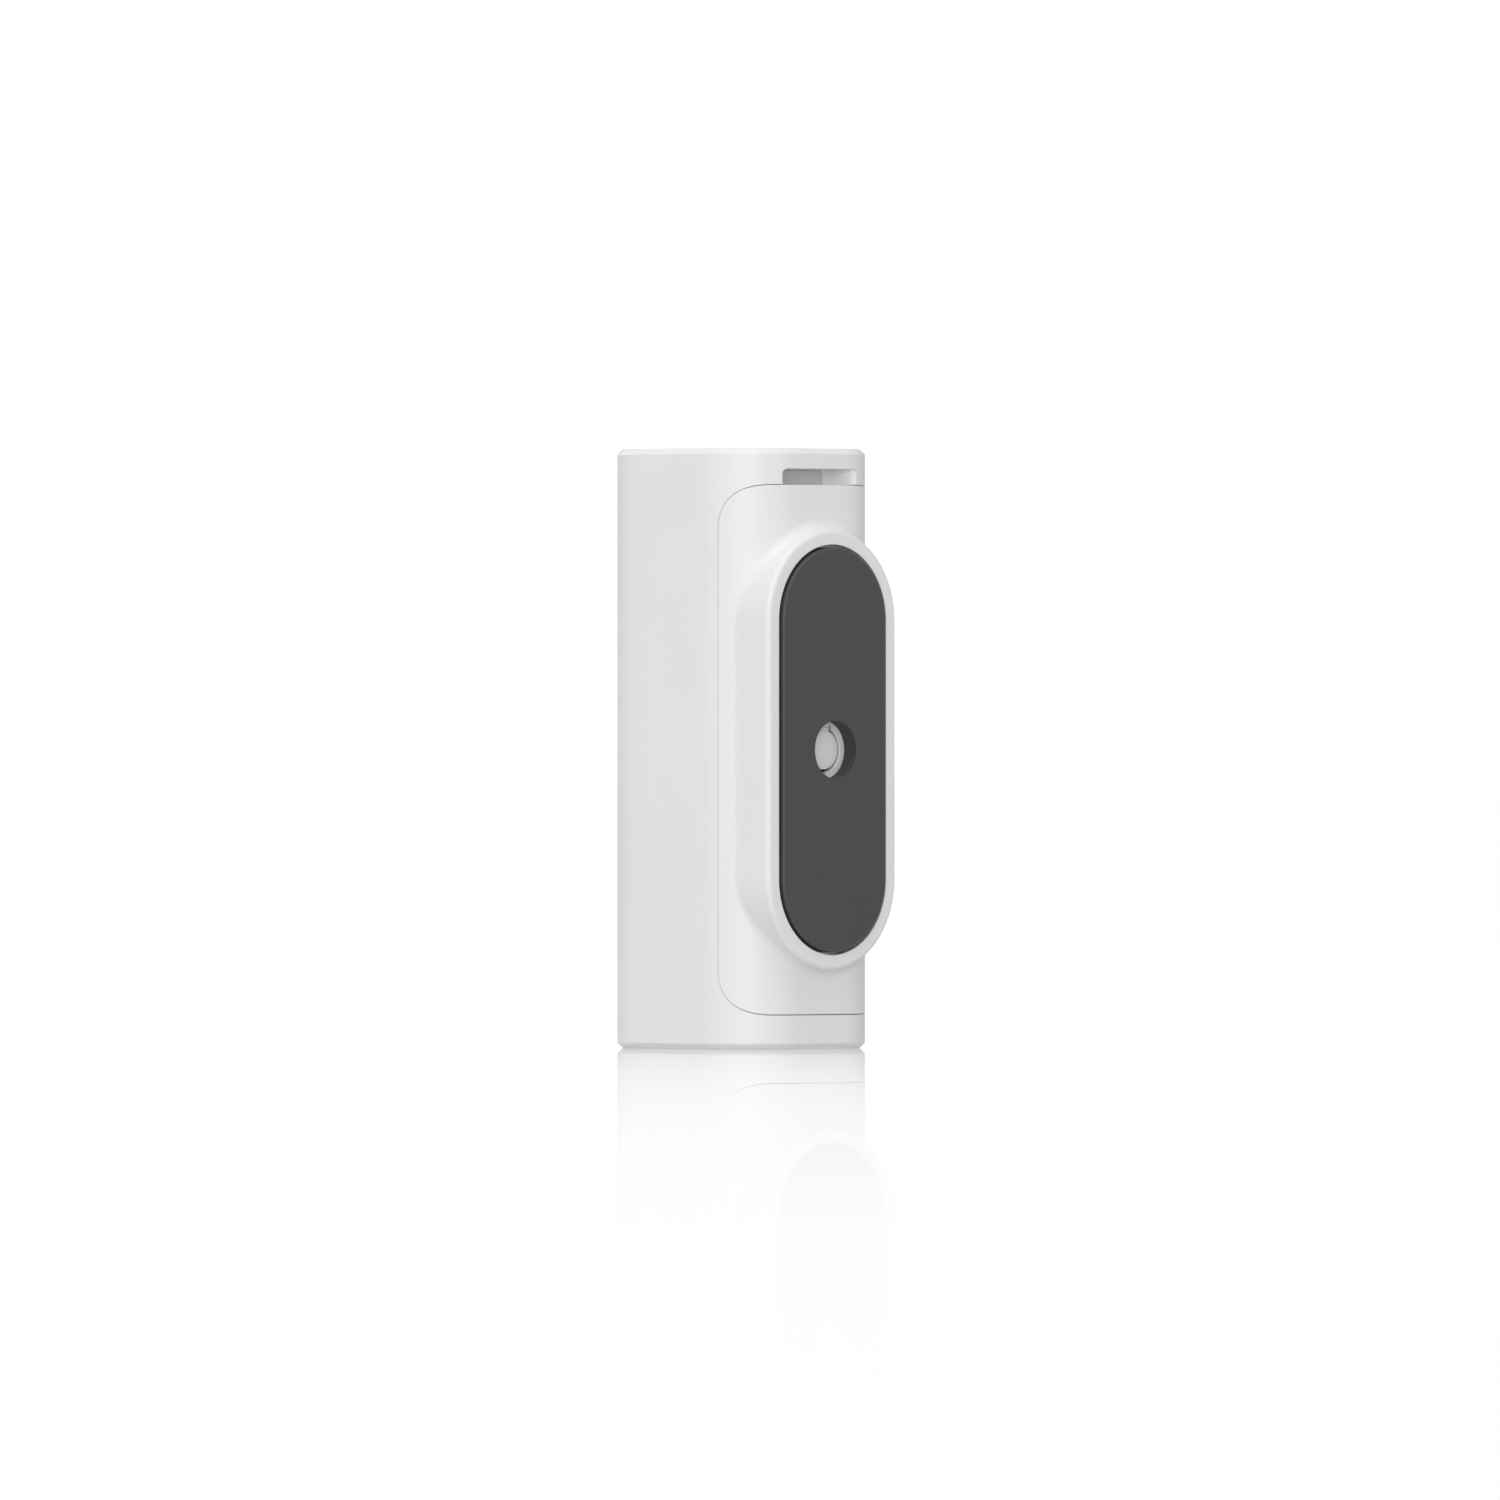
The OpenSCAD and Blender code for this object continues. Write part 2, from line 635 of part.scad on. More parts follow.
module chassis() color("#3A3B3D") difference() {
    union() {
        box(2 * chassis_half, chassis_h, chassis_y, chassis_back_y, 0, cover_z);
        for (p = front_posts) rod(post_r, board_y + board_t, chassis_y + eps, p[0], p[1]);
        for (p = main_posts) rod(1.9, main_back_y, chassis_y + eps, p[0], p[1]);
        for (p = tray_points) rod(1.75, chassis_y - 3, chassis_y + eps, p[0], p[1]);
        for (z = peg_zs) rod(3, chassis_back_y - eps, peg_tip_y + 4, 0, z);
    }
    for (p = front_posts) rod(0.8 + screw_gap, board_y - 1, board_y + board_t + 4.5, p[0], p[1]);
    for (p = main_posts) rod(0.8 + screw_gap, main_y, chassis_y + 0.4, p[0], p[1]);
    for (p = tray_points) rod(0.9 + screw_gap, chassis_y - 2.5, chassis_back_y + 1, p[0], p[1]);
    for (p = chassis_points) rod(1.5, chassis_y - 1, chassis_back_y + 1, p[0], p[1]);
    for (z = peg_zs) rod(peg_r + running_gap, chassis_back_y + 1, peg_tip_y + 5, 0, z);
    translate([-service_x, 0, service_z])
        across_y(chassis_y - 1, chassis_back_y + 1) rotate(90) pill(usb_t / 2 + 0.2, usb_w - usb_t);
    rod(reset_r + running_gap, chassis_y - 1, chassis_back_y + 1, service_x, service_z);
    box(5.4, 5.4, chassis_y - 1, chassis_y + 0.2, service_x, service_z);
    contact_slots(chassis_y - 1, chassis_back_y + 1);
    box(2 * flex_half + 0.4, 0.6, chassis_y - 1, chassis_back_y + 1, 0, flex_z);
}

module chassis_screws() color("#8E9194")
    for (p = chassis_points) screw(p[0], p[1], chassis_back_y, 1, 2.3, 1.4, 1.2, chassis_t + 8);

module board_screws() color("#8E9194") {
    for (p = front_posts) screw(p[0], p[1], board_y, -1, 1.6, 0.9, 0.8, board_t + 4);
    for (p = main_posts) screw(p[0], p[1], main_y, -1, 1.6, 0.9, 0.8, main_t + 3);
}

module tray_screws() color("#8E9194")
    for (p = tray_points) screw(p[0], p[1], tray_back_y, 1, 1.6, 1, 0.9, tray_t + chassis_t + 2);

module wifi_antenna() color("#C98A4B")
    box(22, 3, chassis_back_y, chassis_back_y + 0.3, 0, cover_z + chassis_h / 2 - 2);

// ---- Batteries ----

// Slots for the four contact tails, through the tray and the chassis
module contact_slots(y0, y1)
    for (s = [-1, 1], z = contact_zs) box(3.4, 0.9, y0, y1, s * cell_x, z);

// Flat contact against an end wall of the tray, with a tail down to the main board
module contact(x, z) {
    box(9, contact_t, tray_back_y, cell_y + 4, x, z);
    box(3, contact_t, main_back_y, tray_back_y + eps, x, z);
}

module battery_tray() color("#2E2F31") difference() {
    union() {
        box(2 * chassis_half, bay_h + 2 * (tray_end_t + tray_flange), tray_y, tray_back_y,
            0, (bay_z0 + bay_z1) / 2);
        for (z = [bay_z0 - tray_end_t / 2, bay_z1 + tray_end_t / 2])
            box(2 * chassis_half, tray_end_t, tray_y, end_wall_y, 0, z);
        box(web_t, bay_h + 1, tray_y, end_wall_y, 0, (bay_z0 + bay_z1) / 2);
        box(web_t, cell_h - 14, tray_y, web_y, 0, cell_z0 + cell_h / 2);
        box(6, 9, web_y - 2.5, web_y, 0, tamper_z);
    }
    for (p = tray_points) rod(0.9 + screw_gap, tray_y - 1, tray_back_y + 1, p[0], p[1]);
    contact_slots(tray_y - 1, tray_back_y + 0.2);
}

module battery_cells() color("#3C7A5A") for (s = [-1, 1]) translate([s * cell_x, cell_y, cell_z0]) {
    cylinder(d = cell_d, h = cell_h);
    cylinder(d = 6, h = cell_h + nub_h);
}

module battery_springs() color("#B5B8BA") for (s = [-1, 1])
    translate([s * cell_x, cell_y, bay_z0 + contact_t + eps]) coil(3.4, 0.35, 4, spring_space - 2 * eps);

module battery_contacts() color("#B5B8BA")
    for (s = [-1, 1], z = contact_zs) contact(s * cell_x, z);

// ---- Tamper switch ----

module tamper_switch() color("#3C3C3E") difference() {
    box(5, 5, tamper_base_y, tamper_top_y, 0, tamper_z);
    rod(1.2 + running_gap, tamper_top_y - 1.4, tamper_top_y + 1, 0, tamper_z);
}

module tamper_plunger() color("#D8D8D6") rod(1.2, tamper_top_y - 0.5, tamper_tip_y, 0, tamper_z);

module tamper_flex() color("#B8742E") {
    translate([-flex_half, web_y, flex_z]) cube([2 * flex_half, flex_t, tamper_z + 2.5 - flex_z]);
    translate([-flex_half, main_back_y, flex_z]) cube([2 * flex_half, web_y + flex_t - main_back_y, flex_t]);
}

module tamper_flap() color(white) {
    rod(flap_d / 2, recess_y - flap_t, recess_y, 0, tamper_z);
    intersection() {
        rod(flap_hole_r - face_gap, recess_y - flap_t, recess_y, 0, tamper_z);
        box(3.2, 4, recess_y - flap_t, recess_y, 0, tamper_z + flap_d / 2);
    }
    rod(1.5, flap_peg_y, recess_y - flap_t + eps, 0, tamper_z);
}

// ---- Release latch ----

module release_latch() color("#E4E5E5") difference() {
    latch_form(0, latch_back_y, latch_back_y + latch_len);
    rod(latch_bore_r, latch_back_y - 1, latch_bore_end_y, 0, latch_spring_z);
}

module latch_spring() color("#B5B8BA")
    translate([0, spring_seat_y, latch_spring_z]) rotate([-90, 0, 0])
        coil(latch_spring_r, 0.15, 8, latch_bore_end_y - latch_travel - 0.1 - spring_seat_y);

// ---- Rear cover ----

// Lip inside the cover's top edge, under the notch
module cover_lip(g = 0) translate([-notch_w / 2 - g, notch_y - 1.2 - g, lip_top_z - lip_t - g])
    cube([notch_w + 2 * g, notch_depth + 1.2 - wall / 2 + g, lip_t + g]);

module rear_cover() color(white) {
    difference() {
        union() {
            intersection() {
                outer_form();
                across_x(-body_w, body_w) cover_outline(-seam);
            }
            translate([0, 0, cover_z])
                round_pill(boss_w / 2, boss_straight, cover_y + seam, rim_y, boss_fillet);
        }
        prism(-wall, -1, body_h + 1);
        translate([0, 0, cover_z]) {
            across_y(back_y - wall - 2, floor_inner_y) pill(boss_w / 2 - wall, boss_straight);
            across_y(recess_y, rim_y + 1) pill(recess_half, boss_straight);
        }
        rod(flap_hole_r, floor_inner_y - 1, recess_y + 1, 0, tamper_z);
    }
    intersection() {
        outer_form();
        union() {
            cover_lip();
            for (z = peg_zs) rod(peg_r, peg_tip_y, back_y - wall + 0.5, 0, z);
        }
    }
}

module wall_pad() color(pad_grey) difference() {
    translate([0, 0, cover_z]) round_pill(pad_w / 2, boss_straight, recess_y, pad_y, pad_edge);
    rod(pad_hole_d / 2, recess_y - 1, pad_y + 1, 0, tamper_z);
    translate([0, pad_y - pad_edge, tamper_z]) rotate([-90, 0, 0])
        cylinder(r1 = pad_hole_d / 2, r2 = pad_hole_d / 2 + 2 * pad_edge, h = 2 * pad_edge);
}

module cover_seal() color("#3A3A3A") difference() {
    intersection() {
        skin(wall + 0.05, wall + 0.9);
        across_x(-body_w, body_w) difference() {
            cover_outline(-seam - 0.2);
            cover_outline(-seam - 2.2);
        }
    }
    cover_lip(0.1);
}

housing();
front_fascia();
fascia_seal();
camera_window();
lens_hood();
lens_barrel();
lens_glass();
lens_holder();
image_sensor();
camera_board();
ir_windows();
ir_leds();
pir_lens();
pir_holder();
pir_sensor();
light_ring();
ring_leds();
front_board();
microphone();
mic_boot();
button_switch();
speaker_frame();
speaker_cone();
speaker_gasket();
main_board();
shield_can();
board_chips();
board_connectors();
usb_socket();
reset_switch();
chassis();
chassis_screws();
board_screws();
tray_screws();
wifi_antenna();
battery_tray();
battery_cells();
battery_springs();
battery_contacts();
tamper_switch();
tamper_flex();
latch_spring();
rear_cover();
wall_pad();
cover_seal();
tamper_flap();
release_latch();
bell_button();
switch_plunger();
tamper_plunger();
reset_button();
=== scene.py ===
"""Battery video doorbell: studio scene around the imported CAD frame.

Pieces are built in millimetres; finish_piece() turns them into metres.
"""

import json
import math

import bmesh
import bpy
import numpy as np
from mathutils import Matrix, Vector


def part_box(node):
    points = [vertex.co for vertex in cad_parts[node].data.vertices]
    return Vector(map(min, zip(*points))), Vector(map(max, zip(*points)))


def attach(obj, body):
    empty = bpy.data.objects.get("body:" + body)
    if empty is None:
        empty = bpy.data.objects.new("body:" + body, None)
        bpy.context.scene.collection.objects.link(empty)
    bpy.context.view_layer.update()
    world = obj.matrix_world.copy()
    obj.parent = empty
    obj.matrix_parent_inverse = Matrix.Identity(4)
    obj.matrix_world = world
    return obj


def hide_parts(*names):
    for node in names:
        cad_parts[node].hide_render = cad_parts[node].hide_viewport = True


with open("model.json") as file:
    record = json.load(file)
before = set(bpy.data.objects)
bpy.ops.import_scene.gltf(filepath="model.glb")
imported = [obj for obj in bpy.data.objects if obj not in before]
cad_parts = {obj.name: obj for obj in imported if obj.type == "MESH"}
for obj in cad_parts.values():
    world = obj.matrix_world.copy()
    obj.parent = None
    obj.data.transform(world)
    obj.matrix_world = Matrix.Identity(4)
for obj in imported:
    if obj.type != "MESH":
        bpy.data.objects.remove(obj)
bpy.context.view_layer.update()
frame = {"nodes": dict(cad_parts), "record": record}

MM = 0.001


def span(node):
    """Lowest and highest corner of a CAD node, in millimetres."""
    low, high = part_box(node)
    return np.array(low) / MM, np.array(high) / MM


# ---- Sizes, taken from the CAD nodes ----

body_lo, body_hi = span("housing")
cover_lo, cover_hi = span("rear_cover")
pad_lo, pad_hi = span("wall_pad")
flap_lo, flap_hi = span("tamper_flap")
latch_lo, latch_hi = span("release_latch")
fascia_lo, fascia_hi = span("front_fascia")

BODY_HALF_W = body_hi[0]
BODY_HALF_D = -body_lo[1]
BODY_H = body_hi[2]
CORNER_R = 14.5
WALL = 2.2
CORNER_X = BODY_HALF_W - CORNER_R
CORNER_Y = BODY_HALF_D - CORNER_R
CHAMFER = 1.1

SEAM = 0.15
SIDE_SEAM = 0.06
COVER_Z = (cover_lo[2] + cover_hi[2]) / 2
COVER_HALF_H = (cover_hi[2] - cover_lo[2]) / 2
OPENING_Y = BODY_HALF_D - 10.3
OPENING_R = 9.3
COVER_FRONT_Y = OPENING_Y + SIDE_SEAM
COVER_CORNER_R = OPENING_R - SEAM
RIM_Y = cover_hi[1]
PAD_Y = pad_hi[1]
RECESS_Y = pad_lo[1]
FLOOR_T = 2.0
PAD_HALF = pad_hi[0]
STRAIGHT = (pad_hi[2] - pad_lo[2]) - 2 * PAD_HALF
RECESS_HALF = PAD_HALF + 0.65
BOSS_HALF = 39.3 / 2
BOSS_FILLET = 1.1
BLEND_R = 2.3
FLAP_R = flap_hi[0]
FLAP_HOLE_R = FLAP_R + 0.65
PAD_HOLE_R = 6.3
PEG_R = 1.5

NOTCH_HALF = 11.5
NOTCH_FLOOR_HALF = 7.1
NOTCH_Y = latch_hi[1] + 0.05
NOTCH_TOP = COVER_Z + COVER_HALF_H + SEAM + 3.4
NOTCH_R = 1.5
LATCH_GAP = 0.04

FASCIA_HALF = fascia_hi[0]
FASCIA_STRAIGHT = fascia_hi[2] - fascia_lo[2] - 2 * FASCIA_HALF
FASCIA_Z = (fascia_lo[2] + fascia_hi[2]) / 2
FASCIA_T = 1.2
FASCIA_GAP = 0.15
LEDGE_DEPTH = 1.5
LEDGE_W = 1.3
PIR_FLANGE_T = 0.55
RING_FLANGE = 1.1
RING_W = 1.25
FLANGE_T = 0.8
SIDE_Y = -CORNER_R / 2

# ---- Closed loops of points, all with the same number of points ----

SIDE_STEPS = 36
ARC_STEPS = 96


def pill_frame():
    """Outward direction and straight offset of each point of a pill, anticlockwise from the lower right."""
    side = np.linspace(-0.5, 0.5, SIDE_STEPS, endpoint=False)
    arc = np.linspace(0, math.pi, ARC_STEPS, endpoint=False)
    normals = [np.tile([1.0, 0.0], (SIDE_STEPS, 1)), np.stack([np.cos(arc), np.sin(arc)], 1)]
    offsets = [side, np.full(ARC_STEPS, 0.5)]
    normals = np.concatenate(normals + [-n for n in normals])
    offsets = np.concatenate(offsets + [-o for o in offsets])
    return normals, offsets


PILL_NORMAL, PILL_OFFSET = pill_frame()
LOOP = len(PILL_OFFSET)


def pill_xz(half, straight=STRAIGHT):
    return PILL_NORMAL * half + np.stack([np.zeros(LOOP), PILL_OFFSET * straight], 1)


def raised(xz, y, z0=COVER_Z):
    """Points (x, y, z) of a rear-view outline at the depth y."""
    return np.stack([xz[:, 0], np.broadcast_to(y, LOOP), xz[:, 1] + z0], 1)


def circle_xz(radius):
    reference = pill_xz(PAD_HALF)
    angle = np.arctan2(reference[:, 1], reference[:, 0])
    return radius * np.stack([np.cos(angle), np.sin(angle)], 1)


def plan_y(x, depth=0.0):
    """Rear surface of the housing's outline at x, at a depth below the skin."""
    over = np.clip(np.abs(x) - CORNER_X, 0, CORNER_R - depth)
    return CORNER_Y + np.sqrt((CORNER_R - depth) ** 2 - over ** 2)


def plan_point(s, depth=0.0):
    """Point of the rear outline at the arc length s from the middle of the back (measured on the skin)."""
    angle = np.clip(np.abs(s) - CORNER_X, 0, None) / CORNER_R
    flat = np.minimum(np.abs(s), CORNER_X)
    x = flat + (CORNER_R - depth) * np.sin(angle)
    y = CORNER_Y + (CORNER_R - depth) * np.cos(angle)
    return np.sign(s) * x, y


def arc_length(x, y):
    """Inverse of plan_point for points at any depth."""
    angle = np.arctan2(np.clip(np.abs(x) - CORNER_X, 0, None), y - CORNER_Y)
    return np.sign(x) * (np.minimum(np.abs(x), CORNER_X) + CORNER_R * angle)


def cover_edge(inset, depth):
    """Rear cover's outer edge as (s, z) per loop point, moved inwards by inset, at a depth below the skin."""
    y0 = COVER_FRONT_Y + inset
    radius = COVER_CORNER_R - inset
    half = COVER_HALF_H - inset
    angle = np.linspace(0, math.acos((y0 - CORNER_Y) / (CORNER_R - depth)), 600)
    s = CORNER_X + CORNER_R * angle
    y = CORNER_Y + (CORNER_R - depth) * np.cos(angle)
    z = half - radius + np.sqrt(np.clip(radius ** 2 - np.clip(y0 + radius - y, 0, None) ** 2, 0, None))
    side_s = s[-1]
    top_z = z[0]
    s = np.concatenate([[0], s, [side_s]])
    z = np.concatenate([[top_z], z, [STRAIGHT / 2]]) - STRAIGHT / 2
    polar = np.arctan2(z, s)[::-1]
    wanted = np.arctan2(np.abs(PILL_NORMAL[:, 1]), np.abs(PILL_NORMAL[:, 0]))
    edge_s = np.interp(wanted, polar, s[::-1]) * np.sign(np.round(PILL_NORMAL[:, 0], 9))
    edge_z = np.interp(wanted, polar, z[::-1]) * np.sign(PILL_OFFSET) + PILL_OFFSET * STRAIGHT
    on_side = np.abs(PILL_OFFSET) < 0.5
    edge_z = np.where(on_side, PILL_OFFSET * STRAIGHT, edge_z)
    edge_s = np.where(on_side, side_s * PILL_NORMAL[:, 0], edge_s)
    return np.stack([edge_s, edge_z], 1)


def on_plan(sz, depth):
    x, y = plan_point(sz[:, 0], depth)
    return np.stack([x, y, sz[:, 1] + COVER_Z], 1)


def blend_loops(steps):
    """Rolling-ball fillet between the boss's wall and the housing's surface, and its foot as (s, z)."""
    wall = pill_xz(BOSS_HALF)
    centre = wall + PILL_NORMAL * BLEND_R
    over = np.clip(np.abs(centre[:, 0]) - CORNER_X, 0, None)
    reach = CORNER_R + BLEND_R
    centre_y = CORNER_Y + np.sqrt(reach ** 2 - over ** 2)
    to_wall = np.stack([-PILL_NORMAL[:, 0], np.zeros(LOOP), -PILL_NORMAL[:, 1]], 1)
    to_body = np.stack([-np.sign(centre[:, 0]) * over, -(centre_y - CORNER_Y), np.zeros(LOOP)], 1) / reach
    centres = np.stack([centre[:, 0], centre_y, centre[:, 1] + COVER_Z], 1)
    omega = np.arccos(np.clip((to_wall * to_body).sum(1), -1, 1))[:, None]
    loops = []
    for t in np.linspace(0, 1, steps + 1):
        direction = (np.sin((1 - t) * omega) * to_wall + np.sin(t * omega) * to_body) / np.sin(omega)
        loops.append(centres + BLEND_R * direction)
    foot = loops[-1]
    return loops, np.stack([arc_length(foot[:, 0], foot[:, 1]), foot[:, 2] - COVER_Z], 1)


def arc_pairs(radius, steps):
    """(inset, depth) pairs of a rounded edge, from the face to the side."""
    angles = np.linspace(0, math.pi / 2, steps + 1)
    return [(radius * (1 - math.sin(a)), radius * (1 - math.cos(a))) for a in angles]


# ---- Meshes ----

ARC = 24


def arc(cx, cy, radius, start, end, steps=ARC):
    """Points along an arc between two angles in degrees."""
    angle = np.radians(np.linspace(start, end, steps + 1))
    return np.stack([cx + radius * np.cos(angle), cy + radius * np.sin(angle)], 1)


def round_rect(half_w, half_h, radius, steps=ARC):
    corners = [(1, 1, 0), (-1, 1, 90), (-1, -1, 180), (1, -1, 270)]
    return np.concatenate([
        arc(sx * (half_w - radius), sy * (half_h - radius), radius, turn, turn + 90, steps)
        for sx, sy, turn in corners
    ])


def pill_outline(half, straight, z0=0.0, steps=64):
    ends = [(straight / 2, 0), (-straight / 2, 180)]
    return np.concatenate([arc(0, z0 + z, half, turn, turn + 180, steps) for z, turn in ends])


def plan_outline(inset):
    return round_rect(BODY_HALF_W - inset, BODY_HALF_D - inset, CORNER_R - inset, 64)


def new_object(name, mesh):
    piece = bpy.data.objects.new(name, mesh)
    bpy.context.scene.collection.objects.link(piece)
    return piece


def mesh_from(name, points, faces):
    """A closed mesh object in millimetres."""
    mesh = bpy.data.meshes.new(name)
    mesh.from_pydata([tuple(p) for p in points], [], faces)
    bm = bmesh.new()
    bm.from_mesh(mesh)
    bmesh.ops.remove_doubles(bm, verts=bm.verts, dist=1e-4)
    bmesh.ops.recalc_face_normals(bm, faces=bm.faces)
    bm.to_mesh(mesh)
    bm.free()
    return new_object(name, mesh)


def ring_mesh(name, loops):
    """Closed tube of quads between successive loops; the last loop joins the first."""
    count = len(loops)
    size = len(loops[0])
    faces = []
    for i in range(count):
        a, b = i * size, (i + 1) % count * size
        for j in range(size):
            k = (j + 1) % size
            faces.append((a + j, a + k, b + k, b + j))
    return mesh_from(name, np.concatenate(loops), faces)


def loft(name, loops):
    """Solid through successive loops, with flat ends."""
    size = len(loops[0])
    faces = [tuple(range(size)), tuple(range((len(loops) - 1) * size, len(loops) * size))]
    for i in range(len(loops) - 1):
        a, b = i * size, (i + 1) * size
        faces += [(a + j, a + (j + 1) % size, b + (j + 1) % size, b + j) for j in range(size)]
    return mesh_from(name, np.concatenate(loops), faces)


AXES = {"X": (1, 2, 0), "Y": (0, 2, 1), "Z": (0, 1, 2)}


def raise_outline(outline, axis, level):
    first, second, along = AXES[axis]
    loop = np.zeros((len(outline), 3))
    loop[:, first], loop[:, second], loop[:, along] = outline[:, 0], outline[:, 1], level
    return loop


def prism(name, outline, axis, start, end):
    return loft(name, [raise_outline(np.asarray(outline), axis, level) for level in (start, end)])


def box(name, low, high):
    return prism(name, [(low[0], low[1]), (high[0], low[1]), (high[0], high[1]), (low[0], high[1])],
                 "Z", low[2], high[2])


def plan_prism(inset, z0, z1):
    return prism("plan", plan_outline(inset), "Z", z0, z1)


def turned(name, profile, centre, axis="Y", closed=False, steps=96):
    """Solid of revolution from (radius, level) pairs, about an axis through the centre."""
    first, second, along = AXES[axis]
    angle = np.linspace(0, 2 * math.pi, steps, endpoint=False)
    loops = []
    for radius, level in profile:
        loop = np.zeros((steps, 3))
        loop[:, first] = centre[0] + radius * np.cos(angle)
        loop[:, second] = centre[1] + radius * np.sin(angle)
        loop[:, along] = level
        loops.append(loop)
    return ring_mesh(name, loops) if closed else loft(name, loops)


def rod(radius, y0, y1, x, z):
    return turned("rod", [(radius, y0), (radius, y1)], (x, z), steps=64)


def applied(piece):
    """Replaces a piece's mesh by the result of its modifiers."""
    graph = bpy.context.evaluated_depsgraph_get()
    mesh = bpy.data.meshes.new_from_object(piece.evaluated_get(graph))
    piece.modifiers.clear()
    piece.data = mesh


def carve(piece, tool, operation="DIFFERENCE"):
    """Boolean of two closed meshes; the tool is used up."""
    modifier = piece.modifiers.new("carve", "BOOLEAN")
    modifier.operation = operation
    modifier.solver = "MANIFOLD"
    modifier.object = tool
    applied(piece)
    bpy.data.objects.remove(tool)


def soften(piece, width, angle=40):
    """Small rounding along every edge sharper than the angle, in millimetres."""
    bevel = piece.modifiers.new("soften", "BEVEL")
    bevel.width = width
    bevel.segments = 2
    bevel.limit_method = "ANGLE"
    bevel.angle_limit = math.radians(angle)
    applied(piece)


def finish_piece(piece):
    """Scales a piece to metres and shades it smooth but for its sharp edges."""
    sharp = math.radians(35)
    bm = bmesh.new()
    bm.from_mesh(piece.data)
    bmesh.ops.remove_doubles(bm, verts=bm.verts, dist=2e-4)
    bmesh.ops.dissolve_degenerate(bm, edges=bm.edges, dist=1e-5)
    for face in bm.faces:
        face.smooth = True
        face.material_index = 0
    for edge in bm.edges:
        edge.smooth = len(edge.link_faces) == 2 and edge.calc_face_angle(0.0) < sharp
    bm.transform(Matrix.Scale(MM, 4))
    bm.to_mesh(piece.data)
    bm.free()
    piece.data.materials.clear()
    normals = piece.modifiers.new("normals", "WEIGHTED_NORMAL")
    normals.keep_sharp = True


def join(name, pieces):
    """One object from several."""
    bm = bmesh.new()
    for piece in pieces:
        bm.from_mesh(piece.data)
        bpy.data.objects.remove(piece)
    mesh = bpy.data.meshes.new(name)
    bm.to_mesh(mesh)
    bm.free()
    return new_object(name, mesh)


def islands(node):
    """Lowest and highest corner of each separate solid in a CAD node, in millimetres."""
    bm = bmesh.new()
    bm.from_mesh(frame["nodes"][node].data)
    bmesh.ops.remove_doubles(bm, verts=bm.verts, dist=1e-6)
    found, seen = [], set()
    for start in bm.verts:
        if start in seen:
            continue
        seen.add(start)
        stack, group = [start], []
        while stack:
            vert = stack.pop()
            group.append(vert.co / MM)
            for edge in vert.link_edges:
                other = edge.other_vert(vert)
                if other not in seen:
                    seen.add(other)
                    stack.append(other)
        group = np.array(group)
        found.append((group.min(0), group.max(0)))
    bm.free()
    return found


def between(a, b, steps):
    """Loops strictly between two loops."""
    return [a + (b - a) * t for t in np.linspace(0, 1, steps + 1)[1:-1]]


def round_edge(radius, level, r, side):
    """(radius, level) pairs of a rounded edge of a turned face; side is the way the face looks."""
    return [(radius - inset, level - side * depth) for inset, depth in arc_pairs(r, 5)]


# ---- Housing ----


def outer_profile():
    """(inset, z) up the housing's side, with a softened chamfer at the base and at the top."""
    soft_edge = [(0.25, 0), (0.08, 0.03), (-0.10, 0.12)]
    base = [(CHAMFER + a, b) for a, b in soft_edge] + [(b, CHAMFER + a) for a, b in reversed(soft_edge)]
    chamfer_top = base[-1][1]
    levels = [(0, z) for z in np.linspace(chamfer_top, BODY_H - chamfer_top, 6)[1:-1]]
    return base + levels + [(inset, BODY_H - z) for inset, z in reversed(base)]


def cover_opening():
    """Side view of the opening for the rear cover, as (y, z)."""
    half = COVER_HALF_H + SEAM
    centre_y = OPENING_Y + OPENING_R
    lower = arc(centre_y, COVER_Z - half + OPENING_R, OPENING_R, 270, 180, 40)
    upper = arc(centre_y, COVER_Z + half - OPENING_R, OPENING_R, 180, 90, 40)
    beyond = BODY_HALF_D + 5
    return np.concatenate([lower, upper, [(beyond, COVER_Z + half), (beyond, COVER_Z - half)]])


def notch_cutter():
    """Release notch: flat inner face, a smooth ramp at each end, and rounded upper corners."""
    rise = float(plan_y(NOTCH_HALF)) - NOTCH_Y
    t = np.linspace(1, 0, 33)
    side = np.stack([NOTCH_FLOOR_HALF + (NOTCH_HALF - NOTCH_FLOOR_HALF) * t,
                     NOTCH_Y + rise * (1 - np.cos(math.pi * t)) / 2], 1)
    outline = np.concatenate([[(NOTCH_HALF, BODY_HALF_D + 1)], side, (side * (-1, 1))[::-1],
                              [(-NOTCH_HALF, BODY_HALF_D + 1)]])
    low = COVER_Z + COVER_HALF_H
    cutter = prism("notch", outline, "Z", low, NOTCH_TOP + 1)
    front = np.concatenate([
        arc(NOTCH_HALF - NOTCH_R, NOTCH_TOP - NOTCH_R, NOTCH_R, 0, 90, 12),
        arc(NOTCH_R - NOTCH_HALF, NOTCH_TOP - NOTCH_R, NOTCH_R, 90, 180, 12),
        [(-NOTCH_HALF, low - 1), (NOTCH_HALF, low - 1)],
    ])
    carve(cutter, prism("front", front, "Y", NOTCH_Y - 1, BODY_HALF_D + 2), "INTERSECT")
    return cutter


def latch_outline(grow):
    """Rear view of the release latch with its two rounded upper corners."""
    half, top, low, r = latch_hi[0] + grow, latch_hi[2] + grow, latch_lo[2] - grow, 0.7 + grow
    corners = [arc(half - r, top - r, r, 0, 90, 10), arc(r - half, top - r, r, 90, 180, 10)]
    return np.concatenate(corners + [[(-half, low), (half, low)]])


